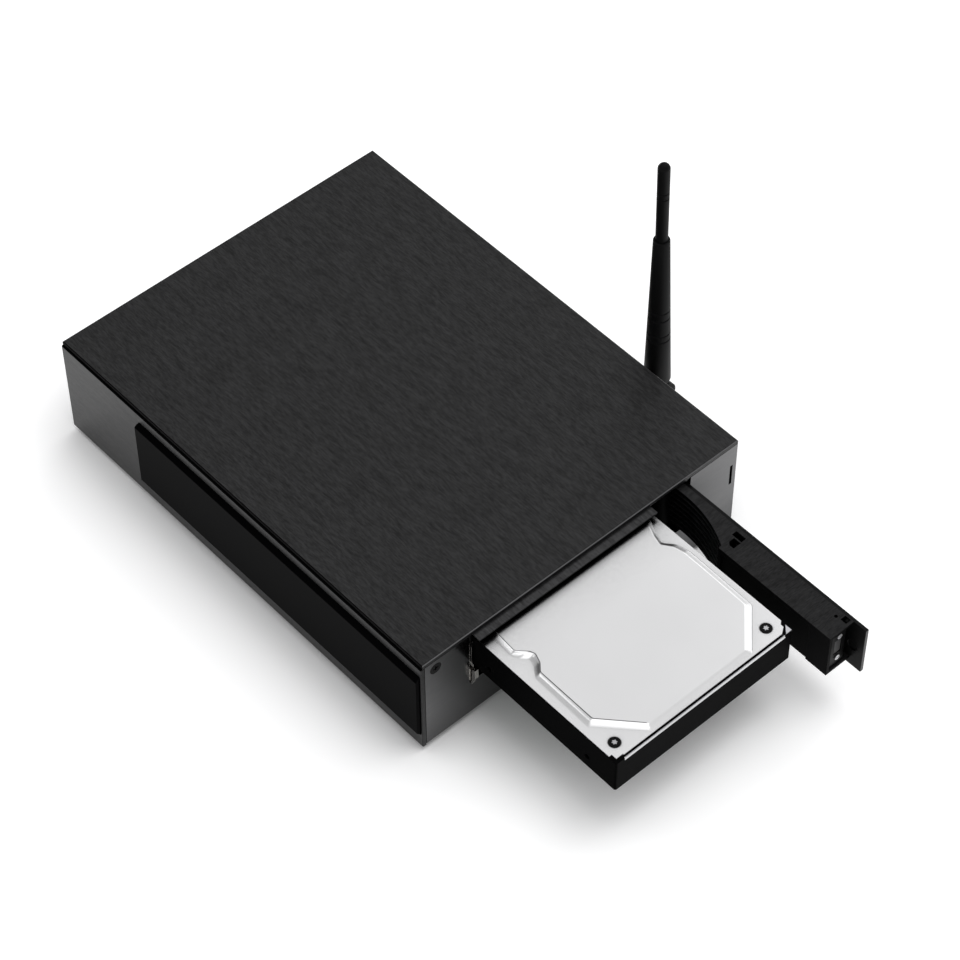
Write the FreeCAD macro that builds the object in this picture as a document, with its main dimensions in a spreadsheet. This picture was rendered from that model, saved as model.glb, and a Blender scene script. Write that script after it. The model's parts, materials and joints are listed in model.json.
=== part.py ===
"""Media player with a side-loading hard drive bay, as an assembly of separate pieces.

Frame: millimetres, +Z up, X across the width (the drive bay is on the +X side), Y from the
front panel to the rear panel. The pieces are built about the middle of the case and written
about the middle of the whole outline, on the table.
The drive is shown slid part way out, the bay door open and the antenna upright.
"""
import FreeCAD, Part
import Sketcher
import os
import re

# ---------------------------------------------------------------- driving dimensions (mm)

SIZES = {
    # case
    "case_width": 245.2,
    "case_depth": 184.6,
    "case_height": 56.3,
    "foot_height": 3.0,
    "foot_radius": 6.5,
    "foot_inset": 17.0,
    "sheet": 1.2,
    "seam": 0.3,
    "cover_thickness": 2.0,
    "cover_setback": 0.9,
    "cover_bevel": 0.35,
    "flange_drop": 12.0,
    "vent_length": 34.0,
    "vent_width": 2.4,
    "vent_pitch": 7.0,
    "lock_slot_height": 12.5,
    "lock_slot_width": 1.6,
    "lock_slot_setback": 2.2,
    "lock_slot_drop": 14.8,
    # front
    "front_thickness": 2.0,
    "window_left": 55.0,
    "window_rim": 0.8,
    "window_base": 8.1,
    "window_head": 49.2,
    "window_proud": 2.2,
    "window_slope": 2.5,
    "window_thickness": 4.8,
    "window_corner": 2.0,
    "display_width": 104.0,
    "display_height": 24.0,
    "display_depth": 6.0,
    # screws
    "screw_setback": 8.2,
    "screw_drop": 7.4,
    "screw_head_radius": 2.9,
    "screw_head_height": 0.8,
    "screw_radius": 1.5,
    "screw_length": 5.0,
    # hard drive
    "drive_width": 101.6,
    "drive_length": 147.0,
    "drive_height": 20.2,
    "drive_out": 85.8,
    "drive_travel": 102.0,
    "bay_centre": -11.7,
    "lid_flange": 0.6,
    "lid_rise": 1.0,
    "lid_margin": 0.5,
    "lid_corner": 6.0,
    "casting_corner": 1.0,
    "casting_skin": 2.6,
    "casting_bevel": 1.5,
    "casting_wall": 5.0,
    "cavity_depth": 9.0,
    "side_hole_radius": 1.4,
    "side_hole_rise": 6.35,
    "drive_screw_radius": 2.7,
    "drive_screw_inset": 7.9,
    "platter_thickness": 1.3,
    "platter_room": 0.7,
    "platter_lift": 2.6,
    "hub_radius": 12.5,
    "post_radius": 2.0,
    "arm_inset": 103.0,
    "arm_offset": 23.6,
    "arm_length": 50.0,
    "arm_angle": 3.1,
    "plug_width": 42.0,
    "plug_offset": 16.0,
    "plug_tongue": 1.0,
    "plug_depth": 5.0,
    # bay
    "bay_gap": 0.6,
    "bay_floor_gap": 0.3,
    "cage_sheet": 1.0,
    "lip_thickness": 0.8,
    "lip_reach": 4.5,
    "lip_gap": 1.9,
    "jamb_gap": 3.1,
    "leg_width": 14.0,
    # bay door
    "hinge_inset": 8.5,
    "hinge_offset": 14.7,
    "hinge_pin_radius": 1.5,
    "running_gap": 0.05,
    "knuckle_radius": 4.2,
    "door_reach": 115.9,
    "door_depth": 15.7,
    "door_height": 25.1,
    "door_top_gap": 3.3,
    "door_wall": 1.6,
    "plate_thickness": 1.6,
    "plate_drop": 3.2,
    "plate_tail": 7.0,
    "plate_overhang": 7.1,
    "door_gap": 0.8,
    "swing_gap": 9.7,
    "arm_thickness": 4.3,
    "heel_radius": 61.0,
    "heel_start": 12.3,
    "box_start": 42.7,
    "rib_pitch": 3.3,
    "rib_groove": 1.6,
    "rib_depth": 2.2,
    "latch_depth": 4.0,
    "latch_gap": 0.7,
    "latch_sheet": 0.8,
    "bolt_width": 4.0,
    "bolt_height": 8.8,
    "bolt_length": 13.0,
    "bolt_travel": 2.5,
    # electronics
    "board_thickness": 1.6,
    "standoff_height": 5.0,
    "board_length": 148.0,
    "board_width": 100.0,
    "sink_side": 42.0,
    "sink_height": 12.0,
    "sink_base": 2.5,
    "sink_fin": 1.2,
    "sink_pitch": 4.5,
    "socket_stand": 0.6,
    "socket_gap": 0.3,
    # power switch
    "switch_inset": 30.6,
    "switch_length": 22.0,
    "switch_height": 16.0,
    "rocker_length": 16.0,
    "rocker_height": 9.6,
    "rocker_tilt": 6.0,
    # antenna
    "antenna_place": 57.2,
    "antenna_rise": 28.0,
    "antenna_reach": 15.4,
    "antenna_lean": 1.4,
    "antenna_root_radius": 6.3,
    "antenna_neck_radius": 3.85,
    "antenna_sleeve_length": 94.6,
    "antenna_length": 139.3,
    "whip_radius": 2.85,
    "fork_slot": 4.6,
    "jack_radius": 3.1,
    "barrel_radius": 4.9,
}

# ---------------------------------------------------------------- shared planes and places

LEFT = "(-case_width/2)"
RIGHT = "(case_width/2)"
FRONT = "(-case_depth/2)"
REAR = "(case_depth/2)"
BASE = "(foot_height)"
FLOOR = "(foot_height+sheet)"
TOP = "(foot_height+case_height)"
DECK = "(foot_height+case_height-cover_thickness)"
WALL_TOP = "(foot_height+case_height-cover_thickness-seam)"
WALL_FRONT = "(-case_depth/2+front_thickness+seam)"
SWITCH_X = "(case_width/2-switch_inset)"
BULKHEAD = "(-case_depth/2-window_proud+window_thickness)"

BAY_NEAR = "(bay_centre-drive_width/2)"
BAY_FAR = "(bay_centre+drive_width/2)"
LIP_FLOOR = "(foot_height+case_height-cover_thickness-lip_thickness)"
LID_TOP = f"({LIP_FLOOR}-lip_gap)"
LID_FLANGE_TOP = f"({LID_TOP}-lid_rise)"
CASTING_TOP = f"({LID_FLANGE_TOP}-lid_flange)"
DRIVE_BASE = f"({LID_TOP}-drive_height)"
DRIVE_END = "(case_width/2+drive_out)"
DRIVE_ROOT = "(case_width/2+drive_out-drive_length)"
HOME_ROOT = "(case_width/2+drive_out-drive_length-drive_travel)"
CAGE_FLOOR = f"({DRIVE_BASE}-bay_floor_gap)"

HINGE_X = "(case_width/2-hinge_inset)"
HINGE_Y = "(bay_centre+drive_width/2+hinge_offset)"
DOOR_OUT = f"({HINGE_Y}+hinge_inset)"
DOOR_IN = f"({DOOR_OUT}-door_depth)"
DOOR_BACK = f"({DOOR_OUT}-plate_thickness)"
DOOR_TOP = f"({DECK}-door_top_gap)"
DOOR_BASE = f"({DOOR_TOP}-door_height)"
PLATE_BASE = f"({DOOR_BASE}-plate_drop)"
DOOR_END = f"({HINGE_X}+door_reach-plate_overhang)"
NOTCH_FLOOR = f"({PLATE_BASE}-door_gap)"
NOTCH_FRONT = f"({BAY_NEAR}-jamb_gap)"
NOTCH_REAR = f"({HINGE_Y}+swing_gap)"

BOARD_BASE = f"({FLOOR}+standoff_height)"
BOARD_TOP = f"({FLOOR}+standoff_height+board_thickness)"
BOARD_LEFT = f"({LEFT}+sheet+4)"
BOARD_REAR = f"({REAR}-sheet-socket_gap)"
SOCKET_FACE = f"({REAR}+socket_stand)"
SCREW_RISE = f"({TOP}-screw_drop)"
SCREW_Y = f"({FRONT}+screw_setback)"

doc = FreeCAD.newDocument("media_player")
sheet = doc.addObject("Spreadsheet::Sheet", "Sizes")
for row, (word, value) in enumerate(SIZES.items(), start=1):
    sheet.set(f"A{row}", word)
    sheet.set(f"B{row}", str(value))
    sheet.setAlias(f"B{row}", word)
doc.recompute()

NODES = {}


# ---------------------------------------------------------------- helpers

def cells(text):
    """An expression with every driving dimension written as a cell of the sheet."""
    return re.sub(r"[a-z][a-z_]+", lambda word: f"Sizes.{word[0]}" if word[0] in SIZES else word[0], text)


def bind(thing, path, text):
    thing.setExpression(path, cells(str(text)))


def node(name, thing):
    """Names the finished piece and puts it on the list of sub-parts."""
    thing.Label = name
    NODES[name] = thing
    return thing


def span(low, high):
    return f"({high})-({low})"


def block(x, y, z, name="block"):
    """A box between two faces on each axis, each pair given as (low, high)."""
    thing = doc.addObject("Part::Box", name)
    for size, place, (low, high) in (("Length", "x", x), ("Width", "y", y), ("Height", "z", z)):
        bind(thing, size, span(low, high))
        bind(thing, f"Placement.Base.{place}", low)
    return thing


TURNS = {
    "x": FreeCAD.Rotation(FreeCAD.Vector(0, 1, 0), 90),
    "y": FreeCAD.Rotation(FreeCAD.Vector(1, 0, 0), -90),
    "z": FreeCAD.Rotation(),
}


def rod(axis, radius, at, length, name="rod"):
    """A cylinder that starts at a point and runs along +X, +Y or +Z."""
    thing = doc.addObject("Part::Cylinder", name)
    bind(thing, "Radius", radius)
    bind(thing, "Height", length)
    thing.Placement.Rotation = TURNS[axis]
    for place, value in zip("xyz", at):
        bind(thing, f"Placement.Base.{place}", value)
    return thing


def prism(sides, axis, radius, at, length, name="prism"):
    """A regular prism that starts at a point and runs along +X, +Y or +Z."""
    thing = doc.addObject("Part::Prism", name)
    thing.Polygon = sides
    bind(thing, "Circumradius", radius)
    bind(thing, "Height", length)
    thing.Placement.Rotation = TURNS[axis]
    for place, value in zip("xyz", at):
        bind(thing, f"Placement.Base.{place}", value)
    return thing


def taper(axis, radius_start, radius_end, at, length, name="taper"):
    """A cone that starts at a point and runs along +X, +Y or +Z."""
    thing = doc.addObject("Part::Cone", name)
    bind(thing, "Radius1", radius_start)
    bind(thing, "Radius2", radius_end)
    bind(thing, "Height", length)
    thing.Placement.Rotation = TURNS[axis]
    for place, value in zip("xyz", at):
        bind(thing, f"Placement.Base.{place}", value)
    return thing


def joined(*things, name="joined"):
    thing = doc.addObject("Part::MultiFuse", name)
    thing.Shapes = list(things)
    thing.Refine = True
    return thing


def carved(base, *tools, name="carved"):
    thing = doc.addObject("Part::Cut", name)
    thing.Base = base
    thing.Tool = tools[0] if len(tools) == 1 else joined(*tools, name=f"{name}_tools")
    thing.Refine = True
    return thing


def rounded(base, radius, pick, name="rounded"):
    """Rounds the edges of a Part feature that the pick function chooses."""
    doc.recompute()
    size = sheet.get(radius) if radius in SIZES else radius
    thing = doc.addObject("Part::Fillet", name)
    thing.Base = base
    thing.Edges = [(i, size, size) for i, edge in enumerate(base.Shape.Edges, start=1) if pick(edge)]
    return thing


def body(name):
    return doc.addObject("PartDesign::Body", name)


PLANE_OF = {"XY": "XY_Plane", "XZ": "XZ_Plane", "YZ": "YZ_Plane"}


def sketch(owner, plane, level):
    """A sketch on one of the body's own planes, moved to a level along +Z, +Y or +X."""
    support = [item for item in owner.Origin.OriginFeatures if item.Role == PLANE_OF[plane]][0]
    drawing = owner.newObject("Sketcher::SketchObject", f"{owner.Name}_sketch")
    drawing.AttachmentSupport = (support, [""])
    drawing.MapMode = "FlatFace"
    bind(drawing, "AttachmentOffset.Base.z", f"-({level})" if plane == "XZ" else level)
    return drawing


def pin_point(drawing, curve, end, place):
    """Holds one end of a curve at (across, up), measured from the sketch's origin."""
    for kind, value in zip(("DistanceX", "DistanceY"), place):
        index = drawing.addConstraint(Sketcher.Constraint(kind, -1, 1, curve, end, 1.0))
        bind(drawing, f"Constraints[{index}]", value)


def polygon(drawing, places):
    """A closed outline through the places, each given as a pair of expressions."""
    first = drawing.GeometryCount
    count = len(places)
    ring = [FreeCAD.Vector(10, 0, 0)]
    for step in range(1, count):
        turn = FreeCAD.Rotation(FreeCAD.Vector(0, 0, 1), 360.0 * step / count)
        ring.append(turn.multVec(ring[0]))
    for step in range(count):
        drawing.addGeometry(Part.LineSegment(ring[step], ring[(step + 1) % count]))
    for step in range(count):
        following = first + (step + 1) % count
        drawing.addConstraint(Sketcher.Constraint("Coincident", first + step, 2, following, 1))
    for step, place in enumerate(places):
        pin_point(drawing, first + step, 1, place)
    return drawing


def rectangle(drawing, across, up):
    (left, right), (low, high) = across, up
    return polygon(drawing, [(left, low), (right, low), (right, high), (left, high)])


def circle(drawing, centre, radius):
    curve = drawing.addGeometry(Part.Circle(FreeCAD.Vector(1, 1, 0), FreeCAD.Vector(0, 0, 1), 1.0))
    index = drawing.addConstraint(Sketcher.Constraint("Radius", curve, 1.0))
    bind(drawing, f"Constraints[{index}]", radius)
    pin_point(drawing, curve, 3, centre)
    return drawing


def pad(owner, drawing, length, reverse=False, taper_angle=0):
    thing = owner.newObject("PartDesign::Pad", f"{owner.Name}_pad")
    thing.Profile = drawing
    bind(thing, "Length", length)
    thing.Reversed = reverse
    thing.TaperAngle = taper_angle
    return thing


def pocket(owner, drawing, length, reverse=False):
    """Cuts towards -Z, +Y or -X from the sketch, or the other way when reversed."""
    thing = owner.newObject("PartDesign::Pocket", f"{owner.Name}_pocket")
    thing.Profile = drawing
    bind(thing, "Length", length)
    thing.Reversed = reverse
    return thing


def through_both(owner, drawing):
    thing = owner.newObject("PartDesign::Pocket", f"{owner.Name}_pocket")
    thing.Profile = drawing
    thing.Type = 1
    return thing


def row_of(owner, feature, axis_role, pitch, count):
    """Repeats a feature along one of the body's axes."""
    axis = [item for item in owner.Origin.OriginFeatures if item.Role == axis_role][0]
    thing = owner.newObject("PartDesign::LinearPattern", f"{owner.Name}_row")
    thing.Originals = [feature]
    thing.Direction = (axis, [""])
    bind(thing, "Length", f"({pitch})*{count - 1}")
    thing.Occurrences = count
    owner.Tip = thing
    return thing


def softened(owner, kind, size, pick):
    """Adds a PartDesign Fillet or Chamfer on the edges that the pick function chooses."""
    doc.recompute()
    tip = owner.Tip
    names = [f"Edge{i}" for i, edge in enumerate(tip.Shape.Edges, start=1) if pick(edge)]
    thing = owner.newObject(f"PartDesign::{kind}", f"{owner.Name}_{kind.lower()}")
    thing.Base = (tip, names)
    bind(thing, "Radius" if kind == "Fillet" else "Size", size)
    return thing


def upright(edge):
    """True for a straight edge that runs along Z."""
    box = edge.BoundBox
    return box.XLength < 0.001 and box.YLength < 0.001


def along_y(edge):
    box = edge.BoundBox
    return box.XLength < 0.001 and box.ZLength < 0.001


def at_height(height):
    def pick(edge):
        box = edge.BoundBox
        return abs(box.ZMin - height) < 0.001 and abs(box.ZMax - height) < 0.001
    return pick


def size_of(word):
    return float(sheet.get(word))


# ---------------------------------------------------------------- case

def lower_chassis():
    """Folded steel tray: floor, two side walls, front bulkhead and the bay notch."""
    tray = body("lower_chassis_body")
    profile = sketch(tray, "XZ", WALL_FRONT)
    polygon(profile, [
        (LEFT, BASE), (RIGHT, BASE), (RIGHT, WALL_TOP), (f"{RIGHT}-sheet", WALL_TOP),
        (f"{RIGHT}-sheet", FLOOR), (f"{LEFT}+sheet", FLOOR), (f"{LEFT}+sheet", WALL_TOP),
        (LEFT, WALL_TOP),
    ])
    pad(tray, profile, span(WALL_FRONT, REAR), reverse=True)
    base = size_of("foot_height")
    softened(tray, "Fillet", "sheet*0.8", lambda edge: along_y(edge) and at_height(base)(edge))
    bulkhead = sketch(tray, "XZ", BULKHEAD)
    rectangle(bulkhead, (f"{LEFT}+sheet/2", f"{RIGHT}-sheet/2"), (f"{BASE}+sheet/2", f"{WALL_TOP}-sheet"))
    pad(tray, bulkhead, "sheet", reverse=True)
    opening = sketch(tray, "XZ", f"{BULKHEAD}-1")
    rectangle(opening, ("-display_width/2", "display_width/2"),
              (f"{BASE}+window_base+6", f"{BASE}+window_base+6+display_height"))
    pocket(tray, opening, "sheet+2")
    notch = sketch(tray, "YZ", f"{RIGHT}+1")
    rectangle(notch, (NOTCH_FRONT, NOTCH_REAR), (NOTCH_FLOOR, f"{TOP}+1"))
    pocket(tray, notch, "sheet+2")
    slot = sketch(tray, "YZ", f"{RIGHT}+1")
    slot_rear = f"({REAR}-lock_slot_setback)"
    slot_top = f"({TOP}-lock_slot_drop)"
    rectangle(slot, (f"{slot_rear}-lock_slot_width", slot_rear), (f"{slot_top}-lock_slot_height", slot_top))
    pocket(tray, slot, "sheet+2")
    holes = sketch(tray, "YZ", f"{RIGHT}+1")
    circle(holes, (SCREW_Y, SCREW_RISE), "screw_radius+seam")
    pocket(tray, holes, "case_width+2")
    for side, flip in ((RIGHT, False), (LEFT, True)):
        seat = sketch(tray, "YZ", side)
        circle(seat, (SCREW_Y, SCREW_RISE), "screw_head_radius+seam/2")
        pocket(tray, seat, "screw_head_height", reverse=flip)
    vent = sketch(tray, "XY", f"{FLOOR}+1")
    rectangle(vent, ("-vent_pitch*6-vent_width/2", "-vent_pitch*6+vent_width/2"),
              (f"{FRONT}+30", f"{FRONT}+30+vent_length"))
    first = pocket(tray, vent, "sheet+2")
    row_of(tray, first, "X_Axis", "vent_pitch", 13)
    node("lower_chassis", tray)


def top_cover():
    """Brushed aluminium plate with folded flanges that drop inside the side walls."""
    cover = body("top_cover_body")
    plate = sketch(cover, "XY", DECK)
    rectangle(plate, (LEFT, RIGHT), (f"{FRONT}+cover_setback", REAR))
    pad(cover, plate, "cover_thickness")
    top = size_of("foot_height") + size_of("case_height")
    softened(cover, "Chamfer", "cover_bevel", at_height(top))
    inner_left = f"({LEFT}+sheet+seam)"
    inner_right = f"({RIGHT}-sheet-seam)"
    flange_front = f"({BULKHEAD}+sheet+1)"
    flanges = [
        ((inner_left, f"{inner_left}+sheet"), (flange_front, f"{REAR}-25")),
        ((f"{inner_right}-sheet", inner_right), (flange_front, f"{NOTCH_FRONT}-1")),
        ((f"{LEFT}+18", f"{RIGHT}-18"), (f"{REAR}-sheet*2-seam", f"{REAR}-sheet-seam")),
    ]
    for across, along in flanges:
        flange = sketch(cover, "XY", f"{DECK}+0.2")
        rectangle(flange, across, along)
        pad(cover, flange, "flange_drop", reverse=True)
    side_holes = sketch(cover, "YZ", f"{RIGHT}+1")
    circle(side_holes, (SCREW_Y, SCREW_RISE), "screw_radius+running_gap")
    pocket(cover, side_holes, "case_width+2")
    rear_holes = sketch(cover, "XZ", f"{REAR}-10")
    for place in REAR_SCREWS:
        circle(rear_holes, (place, SCREW_RISE), "screw_radius+running_gap")
    pocket(cover, rear_holes, "20")
    node("top_cover", cover)


REAR_SCREWS = ("-case_width/2+30", "0", "case_width/2-30")


def front_panel():
    """Solid aluminium face plate with the window opening cut through it."""
    panel = body("front_panel_body")
    plate = sketch(panel, "XZ", FRONT)
    rectangle(plate, (LEFT, RIGHT), (BASE, WALL_TOP))
    pad(panel, plate, "front_thickness", reverse=True)
    opening = sketch(panel, "XZ", f"{FRONT}-1")
    rectangle(opening, WINDOW_ACROSS, WINDOW_UP)
    pocket(panel, opening, "front_thickness+2")
    softened(panel, "Fillet", "window_corner", window_corner_edge(0.0))
    front = -size_of("case_depth") / 2
    softened(panel, "Chamfer", "0.3", lambda edge: outer_front_edge(edge, front))
    node("front_panel", panel)


WINDOW_ACROSS = ("(-case_width/2+window_left)", "(case_width/2-window_rim)")
WINDOW_UP = ("(foot_height+window_base)", "(foot_height+window_head)")


def window_corner_edge(inset):
    """Picks the short edges through the plate at the left corners, an inset in from the opening."""
    left = -size_of("case_width") / 2 + size_of("window_left") + inset

    def picked(edge):
        box = edge.BoundBox
        across = box.XLength < 0.001 and box.ZLength < 0.001
        return across and box.YLength > 1.0 and abs(box.XMin - left) < 0.01

    return picked


def outer_front_edge(edge, front):
    """The four outline edges of the front face."""
    box = edge.BoundBox
    half = size_of("case_width") / 2
    low = size_of("foot_height")
    flat = box.YMax - front < 0.001
    long_edge = box.XLength > 2 * half - 1
    end_edge = abs(abs(box.XMin) - half) < 0.001 and abs(abs(box.XMax) - half) < 0.001
    return flat and (long_edge or end_edge) and box.ZMin >= low - 0.001


def display_window():
    """Black acrylic slab that stands proud of the front panel, with sloped upper and lower edges."""
    window = body("display_window_body")
    pane = sketch(window, "XZ", f"{FRONT}-window_proud")
    fit = "seam/2"
    low = f"({WINDOW_UP[0]}+{fit})"
    high = f"({WINDOW_UP[1]}-{fit})"
    rectangle(pane, (f"{WINDOW_ACROSS[0]}+{fit}", f"{WINDOW_ACROSS[1]}-{fit}"), (low, high))
    pad(window, pane, "window_thickness", reverse=True)
    softened(window, "Fillet", "window_corner", window_corner_edge(size_of("seam") / 2))
    for rim, inward in ((low, "+"), (high, "-")):
        outward = "-" if inward == "+" else "+"
        slope = sketch(window, "YZ", f"{RIGHT}+1")
        polygon(slope, [
            (f"{FRONT}+0.1*window_proud", f"{rim}{outward}0.1*window_slope"),
            (f"{FRONT}-1.1*window_proud", f"{rim}{inward}1.1*window_slope"),
            (f"{FRONT}-1.1*window_proud", f"{rim}{outward}0.1*window_slope"),
        ])
        pocket(window, slope, "case_width+2")
    node("display_window", window)


DISPLAY_BACK = f"({BULKHEAD}+display_depth)"


def display_unit():
    """Display tube behind the window, its board, and the posts that hold the board."""
    low = f"({BASE}+window_base+6.5)"
    tube = block(("-display_width/2+0.5", "display_width/2-0.5"), (f"{BULKHEAD}+0.1", f"{DISPLAY_BACK}"),
                 (low, f"{low}+display_height-1"), "display_tube_blank")
    glass = rounded(tube, 1.0, lambda edge: edge.BoundBox.XLength < 0.001 and edge.BoundBox.ZLength < 0.001)
    node("display_tube", glass)
    board = block(("-display_width/2-16", "display_width/2+16"),
                  (DISPLAY_BACK, f"{DISPLAY_BACK}+board_thickness"),
                  (f"{low}-5", f"{low}+display_height+4"), "display_board_blank")
    node("display_board", board)
    posts = []
    for side in ("-(display_width/2+12)", "(display_width/2+12)"):
        for height in (f"{low}-1", f"{low}+display_height"):
            posts.append(prism(6, "y", "2.8", (side, f"{BULKHEAD}+sheet", height), "display_depth-sheet",
                               "post"))
    node("display_posts", joined(*posts, name="display_posts_group"))
    eye = rod("y", "2.6", ("display_width/2+8.5", f"{BULKHEAD}+sheet", f"{BASE}+window_base+20"),
              "display_depth-sheet", "infrared_eye")
    node("infrared_receiver", eye)


SOCKET_ROW = {
    # name: (centre across, width, height, depth behind the panel)
    "dc_jack": (f"({BOARD_LEFT}+13.4)", "9", "11", "14"),
    "hdmi_socket": (f"({BOARD_LEFT}+33.4)", "15", "6.2", "12"),
    "lan_socket": (f"({BOARD_LEFT}+57.4)", "16", "13.6", "21"),
    "usb_sockets": (f"({BOARD_LEFT}+81.4)", "14.6", "15.6", "17"),
    "optical_socket": (f"({BOARD_LEFT}+103.4)", "10", "10", "13"),
    "coax_socket": (f"({BOARD_LEFT}+119.4)", "10", "12", "12"),
    "av_socket": (f"({BOARD_LEFT}+135.4)", "8", "7", "13"),
}


def socket_block(name, inset="0"):
    """The housing of one rear socket, standing on the main board."""
    centre, width, height, depth = SOCKET_ROW[name]
    return block((f"{centre}-{width}/2", f"{centre}+{width}/2"),
                 (f"{SOCKET_FACE}-{depth}", f"{SOCKET_FACE}-{inset}"),
                 (BOARD_TOP, f"{BOARD_TOP}+{height}"), f"{name}_housing")


def rear_panel():
    """Rear sheet with one cut-out for each socket and two rows of vents."""
    panel = body("rear_panel_body")
    plate = sketch(panel, "XZ", f"{REAR}-sheet")
    side = "sheet+seam/2"
    rectangle(plate, (f"{LEFT}+{side}", f"{RIGHT}-{side}"), (f"{FLOOR}+seam/2", WALL_TOP))
    pad(panel, plate, "sheet", reverse=True)
    cuts = sketch(panel, "XZ", f"{REAR}-sheet-1")
    for centre, width, height, depth in SOCKET_ROW.values():
        rectangle(cuts, (f"{centre}-{width}/2-socket_gap", f"{centre}+{width}/2+socket_gap"),
                  (f"{BOARD_TOP}-socket_gap", f"{BOARD_TOP}+{height}+socket_gap"))
    rectangle(cuts, (f"{SWITCH_X}-switch_length/2+1.5", f"{SWITCH_X}+switch_length/2-1.5"),
              (f"{SWITCH_RISE}-switch_height/2+1.5", f"{SWITCH_RISE}+switch_height/2-1.5"))
    circle(cuts, ("antenna_place", "antenna_rise"), "jack_radius+seam/2")
    for place in REAR_SCREWS:
        circle(cuts, (place, SCREW_RISE), "screw_radius+seam")
    pocket(panel, cuts, "sheet+2")
    vent = sketch(panel, "XZ", f"{REAR}-sheet-1")
    rectangle(vent, (f"{BOARD_LEFT}+31.4", f"{BOARD_LEFT}+31.4+vent_width"), (f"{BASE}+32", f"{BASE}+44"))
    first = pocket(panel, vent, "sheet+2")
    row_of(panel, first, "X_Axis", "vent_pitch", 16)
    node("rear_panel", panel)


SWITCH_RISE = "(foot_height+22)"


def rubber_feet():
    """Four tapered rubber feet fixed under the floor of the chassis."""
    feet = []
    for across in (f"{LEFT}+foot_inset", f"{RIGHT}-foot_inset"):
        for along in (f"{FRONT}+foot_inset", f"{REAR}-foot_inset"):
            feet.append(taper("z", "foot_radius-0.7", "foot_radius", (across, along, "0"), "foot_height",
                              "foot"))
    node("rubber_feet", joined(*feet, name="rubber_feet_group"))


def cross_head_screw(axis, at, inward):
    """A pan-head screw whose head's outer face is at the given point."""
    across, along, rise = at
    sign = "-" if inward < 0 else "+"
    if axis == "x":
        head_start = f"{across}-screw_head_height" if inward < 0 else across
        shank_start = f"{across}-screw_length" if inward < 0 else across
        head = prism(20, "x", "screw_head_radius", (head_start, along, rise), "screw_head_height", "head")
        shank = prism(8, "x", "screw_radius", (shank_start, along, rise), "screw_length", "shank")
        face = (f"{across}{sign}0.5", across) if inward < 0 else (across, f"{across}{sign}0.5")
        bar_a = block(face, (f"{along}-1.5", f"{along}+1.5"), (f"{rise}-0.35", f"{rise}+0.35"), "cross")
        bar_b = block(face, (f"{along}-0.35", f"{along}+0.35"), (f"{rise}-1.5", f"{rise}+1.5"), "cross")
    else:
        head = prism(20, "y", "screw_head_radius", (across, along, rise), "screw_head_height", "head")
        shank = prism(8, "y", "screw_radius", (across, f"{along}-screw_length+screw_head_height", rise),
                      "screw_length", "shank")
        face = (f"{along}+screw_head_height-0.5", f"{along}+screw_head_height")
        bar_a = block((f"{across}-1.5", f"{across}+1.5"), face, (f"{rise}-0.35", f"{rise}+0.35"), "cross")
        bar_b = block((f"{across}-0.35", f"{across}+0.35"), face, (f"{rise}-1.5", f"{rise}+1.5"), "cross")
    return carved(joined(head, shank, name="screw_blank"), bar_a, bar_b, name="screw")


def cover_screws():
    """Screws that hold the cover: one in each side wall, three in the rear panel."""
    screws = [
        cross_head_screw("x", (RIGHT, SCREW_Y, SCREW_RISE), -1),
        cross_head_screw("x", (LEFT, SCREW_Y, SCREW_RISE), 1),
    ]
    for place in REAR_SCREWS:
        screws.append(cross_head_screw("y", (place, REAR, SCREW_RISE), -1))
    node("cover_screws", joined(*screws, name="cover_screws_group"))


# ---------------------------------------------------------------- electronics

def main_board():
    """Main circuit board on its standoffs, with the chips that work the player."""
    board_right = f"({BOARD_LEFT}+board_length)"
    board_front = f"({BOARD_REAR}-board_width)"
    board = block((BOARD_LEFT, board_right), (board_front, BOARD_REAR), (BOARD_BASE, BOARD_TOP),
                  "main_board_blank")
    corners = [(f"{BOARD_LEFT}+5", f"{board_front}+5"), (f"{board_right}-5", f"{board_front}+5"),
               (f"{BOARD_LEFT}+5", f"{BOARD_REAR}-32"), (f"{board_right}-5", f"{BOARD_REAR}-32")]
    holes = [prism(6, "z", "1.7", (across, along, f"{BOARD_BASE}-1"), "board_thickness+2", "hole")
             for across, along in corners]
    node("main_board", carved(board, *holes, name="main_board_cut"))
    stands = [prism(6, "z", "3.1", (x, y, FLOOR), "standoff_height", "stand") for x, y in corners]
    node("board_standoffs", joined(*stands, name="board_standoffs_group"))
    screws = []
    for x, y in corners:
        head = prism(6, "z", "3.1", (x, y, BOARD_TOP), "1.6", "board_screw_head")
        shank = prism(6, "z", "1.5", (x, y, BOARD_BASE), "board_thickness", "board_screw_shank")
        screws.append(joined(head, shank, name="board_screw"))
    node("board_screws", joined(*screws, name="board_screws_group"))
    chip = block((f"{SINK_X}-11", f"{SINK_X}+11"), (f"{SINK_Y}-11", f"{SINK_Y}+11"),
                 (BOARD_TOP, f"{BOARD_TOP}+1.5"))
    node("processor", chip)
    memory = []
    for step in range(4):
        left = f"({SINK_X}+28)"
        front = f"({SINK_Y}-24+{step}*13)"
        memory.append(block((left, f"{left}+8"), (front, f"{front}+11"), (BOARD_TOP, f"{BOARD_TOP}+1.1"),
                            "memory"))
    node("memory_chips", joined(*memory, name="memory_chips_group"))
    cans = []
    for step in range(5):
        place = (f"{BOARD_LEFT}+16+{step}*11", f"{board_front}+9", BOARD_TOP)
        cans.append(prism(14, "z", "4", place, "9", "can"))
    node("capacitors", joined(*cans, name="capacitors_group"))
    radio_left = f"({board_right}-24)"
    radio = block((radio_left, f"{radio_left}+16"), (f"{SINK_Y}+10", f"{SINK_Y}+26"),
                  (BOARD_TOP, f"{BOARD_TOP}+2.6"))
    node("wifi_module", rounded(radio, 0.8, upright))


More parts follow.
